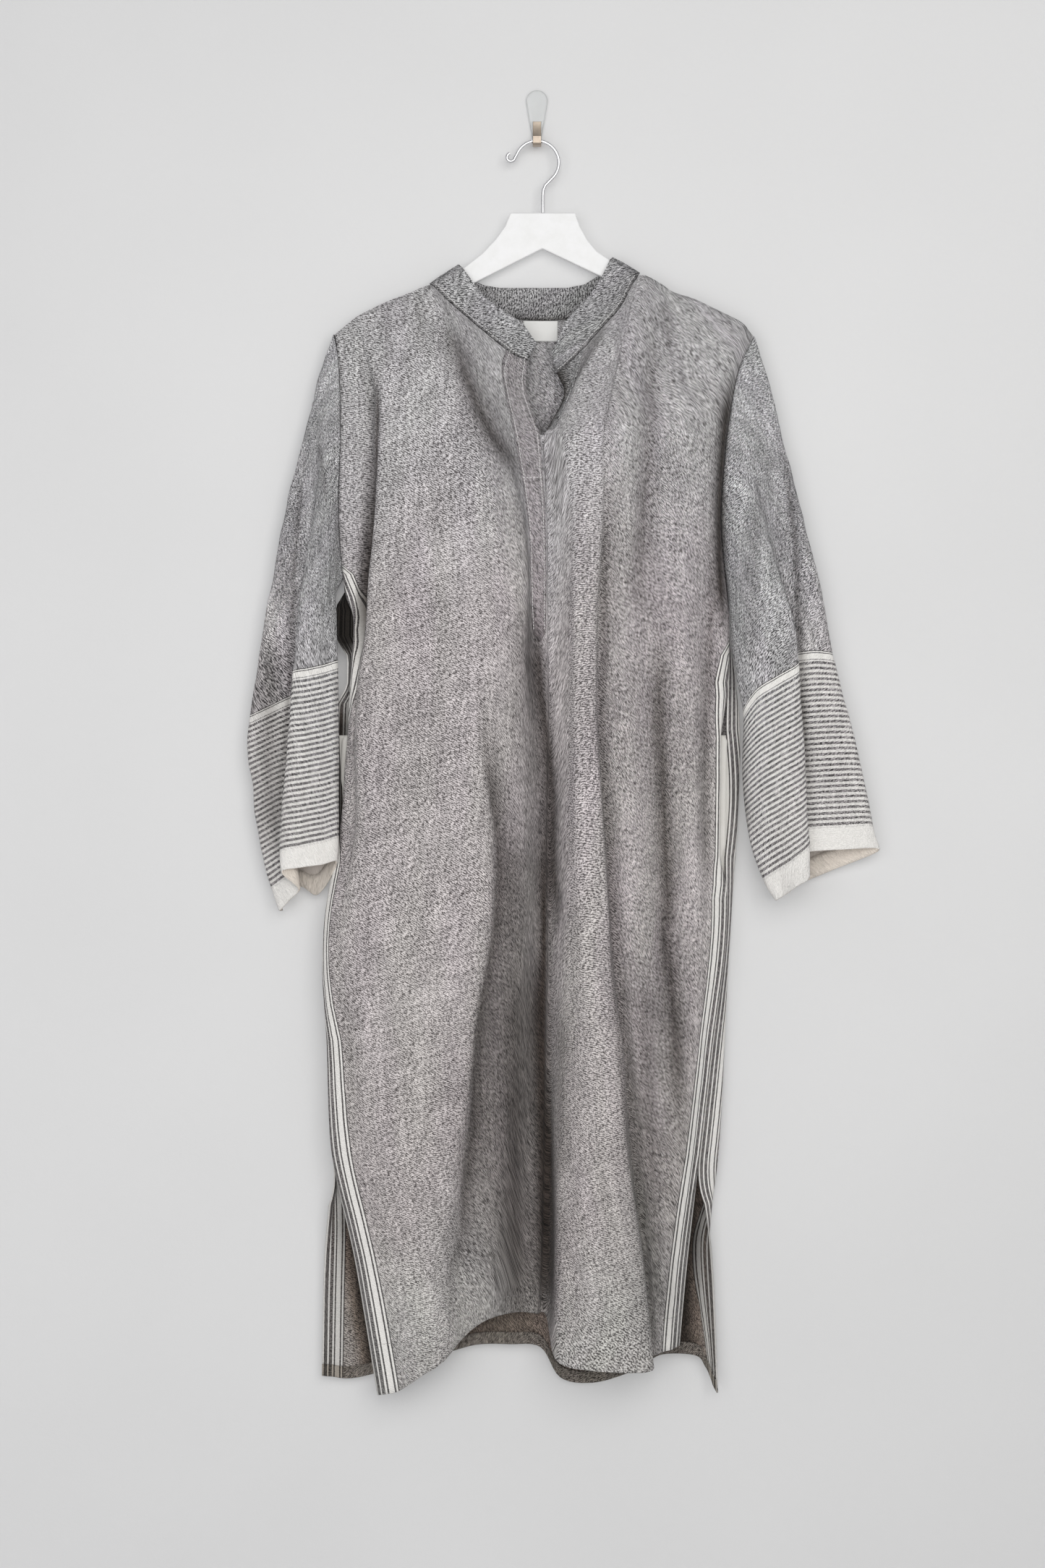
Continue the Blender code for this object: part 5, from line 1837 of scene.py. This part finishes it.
@dataclass
class Hanger:
    """The flat white hanger and its wire crook."""

    thick: float = HANGER_THICK
    wire: float = WIRE_RADIUS

    def body(self, finish: Material) -> Piece:
        """Makes the flat body."""
        piece = flat_mesh("white_hanger", HANGER_OUTLINE, self.thick,
                          lambda a, b, depth: (a, b, SHOULDER_OUT + depth), 1.3, finish)
        return stand_in(piece, "hanger_body")

    def crook(self, finish: Material) -> Piece:
        """Bends the wire crook with its curled end.

        Args:
            finish: its material.

        Returns:
            The piece.
        """
        route = arc(EYE_CENTRE, EYE_RADIUS, EYE_SWEEP, EYE_STEPS * 3)
        route += arc(CROOK_CENTRE, CROOK_RADIUS, CROOK_SWEEP, CROOK_STEPS * 3)
        route += STEM
        curve = bpy.data.curves.new("wire", "CURVE")
        curve.dimensions = "3D"
        curve.bevel_depth = self.wire * MM
        curve.bevel_resolution = 5
        curve.use_fill_caps = True
        spline = curve.splines.new("POLY")
        spline.points.add(len(route) - 1)
        for spot, (x, z) in zip(spline.points, route):
            spot.co = (x * MM, -SHOULDER_OUT * MM, z * MM, 1)
        mesh = plain_mesh(add_piece("wire", curve))
        mesh.materials.append(finish)
        mesh.shade_smooth()
        return stand_in(add_piece("wire_crook", mesh), "hanger_hook")


def plain_mesh(holder: Piece) -> bpy.types.Mesh:
    """Turns what an object evaluates to into a plain mesh, and removes the object.

    Args:
        holder: the object.

    Returns:
        The mesh, with no materials.
    """
    bpy.context.view_layer.update()
    graph = bpy.context.evaluated_depsgraph_get()
    mesh = bpy.data.meshes.new_from_object(holder.evaluated_get(graph), depsgraph=graph)
    bpy.data.objects.remove(holder, do_unlink=True)
    return mesh


@dataclass
class WallHook:
    """The clear teardrop plate on the wall, and its prong."""

    thick: float = PLATE_THICK
    width: float = PRONG_WIDTH

    def plate(self, finish: Material) -> Piece:
        """Makes the clear plate.

        Args:
            finish: its material.

        Returns:
            The piece.
        """
        outline = arc((0, PLATE_TOP_CENTRE_Z), PLATE_TOP_RADIUS, PLATE_TOP_SWEEP, PLATE_TOP_STEPS * 3)
        outline += arc((0, PLATE_FOOT_CENTRE_Z), PLATE_FOOT_RADIUS, PLATE_FOOT_SWEEP, PLATE_FOOT_STEPS * 3)
        piece = flat_mesh("clear_plate", outline, self.thick,
                          lambda a, b, depth: (a, b, self.thick / 2 + depth), 0.9, finish)
        return stand_in(piece, "wall_plate")

    def prong(self, finish: Material) -> Piece:
        """Makes the bent metal prong."""
        piece = flat_mesh("metal_prong", PRONG_PROFILE, self.width,
                          lambda a, b, depth: (depth, b, a), 0.5, finish)
        return stand_in(piece, "wall_prong")


@dataclass
class RepeatedPieces:
    """Small threads set along paths by Geometry Nodes.

    lean is how far, in radians, a thread turns from its path, and spread how much its size varies.
    """

    name: str
    pitch: float
    length: float
    thick: float
    lean: float
    spread: float
    seed: int

    def tree(self, finish: Material) -> tuple[NodeTree, dict[str, object]]:
        """Builds the tree, with named inputs for its sizes.

        Args:
            finish: the thread's material.

        Returns:
            The tree, and each input's value by name.
        """
        tree = bpy.data.node_groups.new(self.name, "GeometryNodeTree")
        values = {"Pitch": self.pitch * MM, "Length": self.length * MM, "Thickness": self.thick * MM,
                  "Lean": self.lean, "Spread": self.spread, "Seed": self.seed, "Finish": finish}
        kinds = {"Seed": "NodeSocketInt", "Finish": "NodeSocketMaterial"}
        tree.interface.new_socket("Geometry", in_out="INPUT", socket_type="NodeSocketGeometry")
        for label in values:
            tree.interface.new_socket(label, in_out="INPUT", socket_type=kinds.get(label, "NodeSocketFloat"))
        tree.interface.new_socket("Geometry", in_out="OUTPUT", socket_type="NodeSocketGeometry")
        net = Net(tree)
        given = net.add("NodeGroupInput").outputs
        path = net.add("GeometryNodeMeshToCurve", {"Mesh": given["Geometry"]}).outputs[0]
        spaced = net.add("GeometryNodeResampleCurve", {"Curve": path, "Length": given["Pitch"]}, mode="LENGTH")
        tangent = net.add("GeometryNodeInputTangent").outputs[0]
        along = net.add("FunctionNodeAlignRotationToVector", {"Vector": tangent}, axis="X").outputs[0]
        low, high = net.thrice(net.times(given["Lean"], -1)), net.thrice(given["Lean"])
        leaning = {0: low, 1: high, "Seed": given["Seed"]}
        turn = net.add("FunctionNodeRandomValue", leaning, data_type="FLOAT_VECTOR")
        lean = net.add("FunctionNodeEulerToRotation", {0: turn.outputs[0]}).outputs[0]
        turned = net.add("FunctionNodeRotateRotation", {0: along, 1: lean}, rotation_space="LOCAL").outputs[0]
        smaller, larger = net.minus(1.0, given["Spread"]), net.plus(1.0, given["Spread"])
        growing = {2: smaller, 3: larger, "Seed": given["Seed"]}
        grow = net.add("FunctionNodeRandomValue", growing, data_type="FLOAT")
        ball = net.add("GeometryNodeMeshUVSphere", {"Segments": 6, "Rings": 5, "Radius": 1.0}).outputs[0]
        half, thin = (net.times(given[label], 0.5) for label in ("Length", "Thickness"))
        size = net.add("ShaderNodeCombineXYZ", {0: half, 1: thin, 2: thin}).outputs[0]
        thread = net.add("GeometryNodeTransform", {"Geometry": ball, "Scale": size}).outputs[0]
        inputs = {"Points": spaced.outputs[0], "Instance": thread, "Rotation": turned, "Scale": grow.outputs[1]}
        placed = net.add("GeometryNodeInstanceOnPoints", inputs).outputs[0]
        real = net.add("GeometryNodeRealizeInstances", {0: placed}).outputs[0]
        done = net.add("GeometryNodeSetMaterial", {"Geometry": real, "Material": given["Finish"]}).outputs[0]
        net.feed(net.add("NodeGroupOutput").inputs[0], done)
        return tree, values

    def build(self, paths: Sequence[Grid], finish: Material, slot: str) -> Piece:
        """Sets the threads along the paths.

        Args:
            paths: the paths' points.
            finish: the thread's material.
            slot: not used.

        Returns:
            The piece, as one plain mesh.
        """
        verts, edges = [], []
        for path in paths:
            start = len(verts)
            verts += [(x * MM, -out * MM, z * MM) for x, z, out in path]
            edges += [(start + k, start + k + 1) for k in range(len(path) - 1)]
        mesh = bpy.data.meshes.new(self.name)
        mesh.from_pydata(verts, edges, [])
        holder = add_piece(self.name + " rows", mesh)
        tree, values = self.tree(finish)
        setter = holder.modifiers.new("rows", "NODES")
        setter.node_group = tree
        for item in tree.interface.items_tree:
            if item.in_out == "INPUT" and item.name in values:
                setter[item.identifier] = values[item.name]
        threads = plain_mesh(holder)
        threads.shade_smooth()
        piece = add_piece(self.name, threads)
        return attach(piece, BODY)


def on_cloth(cloth: Cloth, rows: Grid | float, columns: Grid | float, lift: float) -> Grid:
    """Follows a path over a piece of cloth.

    Args:
        cloth: the cloth.
        rows: the path's rows, or its one row, which may lie between two rows.
        columns: its columns, or its one column.
        lift: how far it lies above the cloth.

    Returns:
        The path's points.
    """
    surface = cloth.lifted(lift)
    r, c = np.broadcast_arrays(np.asarray(rows, float), np.asarray(columns, float))
    r0 = np.clip(r.astype(int), 0, surface.shape[0] - 2)
    c0 = np.clip(c.astype(int), 0, surface.shape[1] - 2)
    a, b = (r - r0)[:, None], (c - c0)[:, None]
    upper = surface[r0, c0] * (1 - b) + surface[r0, c0 + 1] * b
    lower = surface[r0 + 1, c0] * (1 - b) + surface[r0 + 1, c0 + 1] * b
    return upper * (1 - a) + lower * a


class Studio:
    """The camera, the wall, the floor and the soft light."""

    def camera(self) -> None:
        """Sets the camera at the photograph's place."""
        data = bpy.data.cameras.new("camera")
        data.lens, data.sensor_width = CAMERA_LENS, CAMERA_SENSOR
        camera = add_piece("camera", data)
        camera.location = CAMERA_PLACE
        camera.rotation_euler = (math.pi / 2, 0, 0)
        bpy.context.scene.camera = camera

    def plane(self, name: str, corners: Sequence, finish: Material) -> None:
        """Makes one flat backdrop.

        Args:
            name: its name.
            corners: its four corners, in metres.
            finish: its material.
        """
        mesh = bpy.data.meshes.new(name)
        mesh.from_pydata(corners, [], [(0, 1, 2, 3)])
        mesh.materials.append(finish)
        add_piece(name, mesh)

    def light(self, name: str, place: Point, size: float, power: float, colour: tuple) -> None:
        """Hangs one soft light, turned to the garment.

        Args:
            name: its name.
            place: where it hangs, in metres.
            size: its side.
            power: its power in watts.
            colour: its colour.
        """
        data = bpy.data.lights.new(name, "AREA")
        data.size = size
        data.energy = power
        data.color = colour
        lamp = add_piece(name, data)
        lamp.location = place
        lamp.rotation_euler = (Vector(LIGHTS_AIM) - Vector(place)).to_track_quat("-Z", "Y").to_euler()

    def build(self) -> None:
        """Sets the whole scene."""
        self.camera()
        self.plane("wall", WALL_CORNERS, PlasterFinish("wall paint", True).make())
        self.plane("floor", FLOOR_CORNERS, PlasterFinish("floor paint").make())
        for row in LIGHTS:
            self.light(*row)
        world = bpy.data.worlds.new("room")
        world.use_nodes = True
        room = world.node_tree.nodes["Background"].inputs
        room["Color"].default_value = ROOM_COLOUR
        room["Strength"].default_value = ROOM_STRENGTH
        bpy.context.scene.world = world
        bpy.context.scene.view_settings.view_transform = "Standard"


def sew(front: Cloth, band: Cloth, strip: Cloth, thread: Material, quiet: Material) -> None:
    """Sets the rows of stitches on the strip, on the collar and above the front's hem.

    Args:
        front: the front's cloth.
        band: the collar's cloth.
        strip: the left placket's cloth.
        thread: the sewing thread.
        quiet: the hem's thread, as grey as the cloth.
    """
    columns, width = front.points.shape[1], strip.points.shape[1] - 1
    down = np.linspace(0, len(strip.points) - 3, STRIP_POINTS)
    across = np.linspace(ROW_INSET, 1 - ROW_INSET, CROSS_POINTS) * width
    cross_row = np.argmin(abs(strip.points[:, width // 2, 1] - STITCHED_ACROSS_Z))
    collar_columns = np.linspace(1, band.points.shape[1] - 2, COLLAR_POINTS)
    paths = [
        on_cloth(strip, down, ROW_INSET * width, THREAD_LIFT),
        on_cloth(strip, down, (1 - ROW_INSET) * width, THREAD_LIFT),
        on_cloth(strip, cross_row, across, THREAD_LIFT),
        on_cloth(band, len(band.points) - 2, collar_columns, THREAD_LIFT),
    ]
    above = front.down[-1].min() - HEM_STITCH
    hem_row = np.argmin(abs(front.down[:, columns // 2] - above))
    hem = [on_cloth(front, hem_row, np.linspace(1, columns - 2, HEM_POINTS), 0.0)]
    RepeatedPieces("hem_stitching", 3.4, 2.4, 0.5, 0.05, 0.12, 6).build(hem, quiet, "grey_twill")
    stitches = RepeatedPieces("stitching", 3.2, 2.7, 0.75, 0.05, 0.12, 5)
    piece = stitches.build(paths, thread, "grey_twill")
    LOG.info("%s: %d faces", piece.name, len(piece.data.polygons))


def declare(piece: Piece, flat: tuple[float, float]) -> None:
    """Logs a sheet of cloth: its faces, its area and the size it was cut to.

    Args:
        piece: the sheet.
        flat: the size that it was cut to, in metres.
    """
    faces = piece.data.polygons
    measured = sum(face.area for face in faces)
    LOG.info("%s: %d faces, %.4f m2, cut %.3f by %.3f m", piece.name, len(faces), measured, *flat)


def dress_panels(grey: Material, inner: Material, rear: Material) -> tuple[Cloth, Cloth]:
    """Builds the front and the back.

    Args:
        grey: the front's material.
        inner: the material of their inner sides.
        rear: the back's material.

    Returns:
        The two draped cloths.
    """
    front_panel = Panel("front", FRONT_FOLDS, FRONT_TURN_OUT, 1, FRONT_CREASES_AND_SHADE, 0.8, 18, FRONT_CUT_IN)
    back_panel = Panel("back", BACK_FOLDS, BACK_TURN_OUT, -1, BACK_PAINTED_SHADE, 0.35, 13, BACK_CUT_IN)
    front_lines, back_lines = front_panel.lines(), back_panel.lines()
    back_lines[0] = follow_seam(back_lines[0], front_lines[0], ARMPIT_LEFT, 0)
    back_lines[-1] = follow_seam(back_lines[-1], front_lines[-1], ARMPIT_RIGHT, POCKET_GAPE)
    front_lines[0][:, 0] += look_up(FRONT_SWING, front_lines[0][:, 1])
    front_lines[-1][:, 0] += look_up(RIGHT_FRONT_SWING, front_lines[-1][:, 1])
    back_lines[0][:, 0] += look_up(BACK_SWING, back_lines[0][:, 1])
    front = front_panel.drape(front_lines, 11)
    back = back_panel.drape(back_lines, 21)
    front_piece = front_panel.build(front, grey, inner, in_opening)
    back_piece = back_panel.build(back, rear, inner)
    declare(front_piece, FRONT_CUT)
    declare(back_piece, BACK_CUT)
    return front, back


def main() -> None:
    """Builds the kaftan, its hanger and its hook in order."""
    logging.basicConfig(level=logging.INFO, format="%(name)s %(message)s")
    Studio().build()
    GROUPS["twill"] = twill_group()
    GROUPS["crinkle"] = crinkle_group()
    GROUPS["border"] = border_group()
    GROUPS["stripes"] = cuff_group()
    grey = TwillFinish("grey twill", border=True).make()
    striped = TwillFinish("striped twill", stripes=True, crinkle=0.0055, groove_shade=0.7,
                          turned=(1.0, 0.93, 0.86, 1), **CRISP).make()
    lining = TwillFinish("striped twill, inner side", stripes=True, toned=False,
                         white=(0.93, 0.845, 0.77, 1)).make()
    plain = TwillFinish("plain twill", crinkle=0.0045, groove_shade=0.68, **CRISP).make()
    # The strip's twill is a darker copy of the body's: painted shade
    shaded_strip_twill = TwillFinish("strip twill", crinkle=0.0025, light=(0.56, 0.53, 0.54, 1)).make()
    cotton = CottonFinish("pocket cotton", (0.70, 0.67, 0.62, 1), (0.80, 0.79, 0.76, 1)).make()
    woven = CottonFinish("woven tag", (0.74, 0.73, 0.71, 1), (0.82, 0.82, 0.80, 1), 2500).make()
    thread = CottonFinish("sewing thread", (0.66, 0.65, 0.64, 1), (0.86, 0.85, 0.84, 1)).make()
    quiet = CottonFinish("grey thread", (0.20, 0.19, 0.19, 1), (0.36, 0.35, 0.34, 1)).make()
    # Inner sides: shade painted everywhere, near black and browner along the painted folds
    inner = TwillFinish("grey twill, inner side", border=True, inside=0.12, folded=(0.03, 0.026, 0.023, 1)).make()
    # The back's own side has no painted fold shade; its turned-up hem rows get painted shade
    rear = TwillFinish("grey twill, back", border=True, toned=False, turned=(0.38, 0.35, 0.315, 1)).make()
    front, back = dress_panels(grey, inner, rear)

    for name, side, rings, armpit, seed, creases_and_shade in (
        ("sleeve_left", Side.LEFT, LEFT_RINGS, ARMPIT_LEFT, 31, LEFT_CREASES_AND_SHADE),
        ("sleeve_right", Side.RIGHT, RIGHT_RINGS, ARMPIT_RIGHT, 41, RIGHT_CREASES_AND_SHADE),
    ):
        sleeve = Sleeve(name, side, rings, armpit, seed, creases_and_shade)
        cloth = sleeve.drape(front.points, back.points)
        piece = sleeve.build(cloth, striped, lining)
        declare(piece, SLEEVE_CUT)

    collar = Collar()
    band = collar.drape(front.points, back.points)
    declare(collar.build(band, plain), COLLAR_CUT)
    placket = Placket()
    strip = placket.drape(front)
    declare(placket.build(strip, shaded_strip_twill), PLACKET_CUT)
    under = UnderPlacket()
    declare(under.build(under.drape(front.points), plain), UNDER_PLACKET_CUT)
    for name, side, column in (("pocket_left", Side.LEFT, 0), ("pocket_right", Side.RIGHT, -1)):
        bag = PocketBag(name, side)
        cloth = bag.drape(front.points[:, column], back.points[:, column])
        declare(bag.build(cloth, cotton), POCKET_CUT)
    declare(Label().build(woven), LABEL_CUT)

    hanger, hook = Hanger(), WallHook()
    pieces = [
        hanger.body(HardFinish("white lacquer", (0.82, 0.82, 0.82, 1), (0.77, 0.77, 0.76, 1), 0.45).make()),
        hanger.crook(HardFinish("drawn wire", (0.74, 0.74, 0.75, 1), (0.60, 0.60, 0.61, 1), 0.28, 1.0,
                                (1, 1, 0.1)).make()),
        hook.plate(ClearFinish("clear plastic").make()),
        hook.prong(HardFinish("brown nickel", (0.45, 0.38, 0.31, 1), (0.30, 0.25, 0.21, 1), 0.35, 1.0,
                              (1, 1, 0.2)).make()),
    ]
    for piece in pieces:
        LOG.info("%s", piece.name)
    sew(front, band, strip, thread, quiet)


if __name__ == "__main__":
    main()
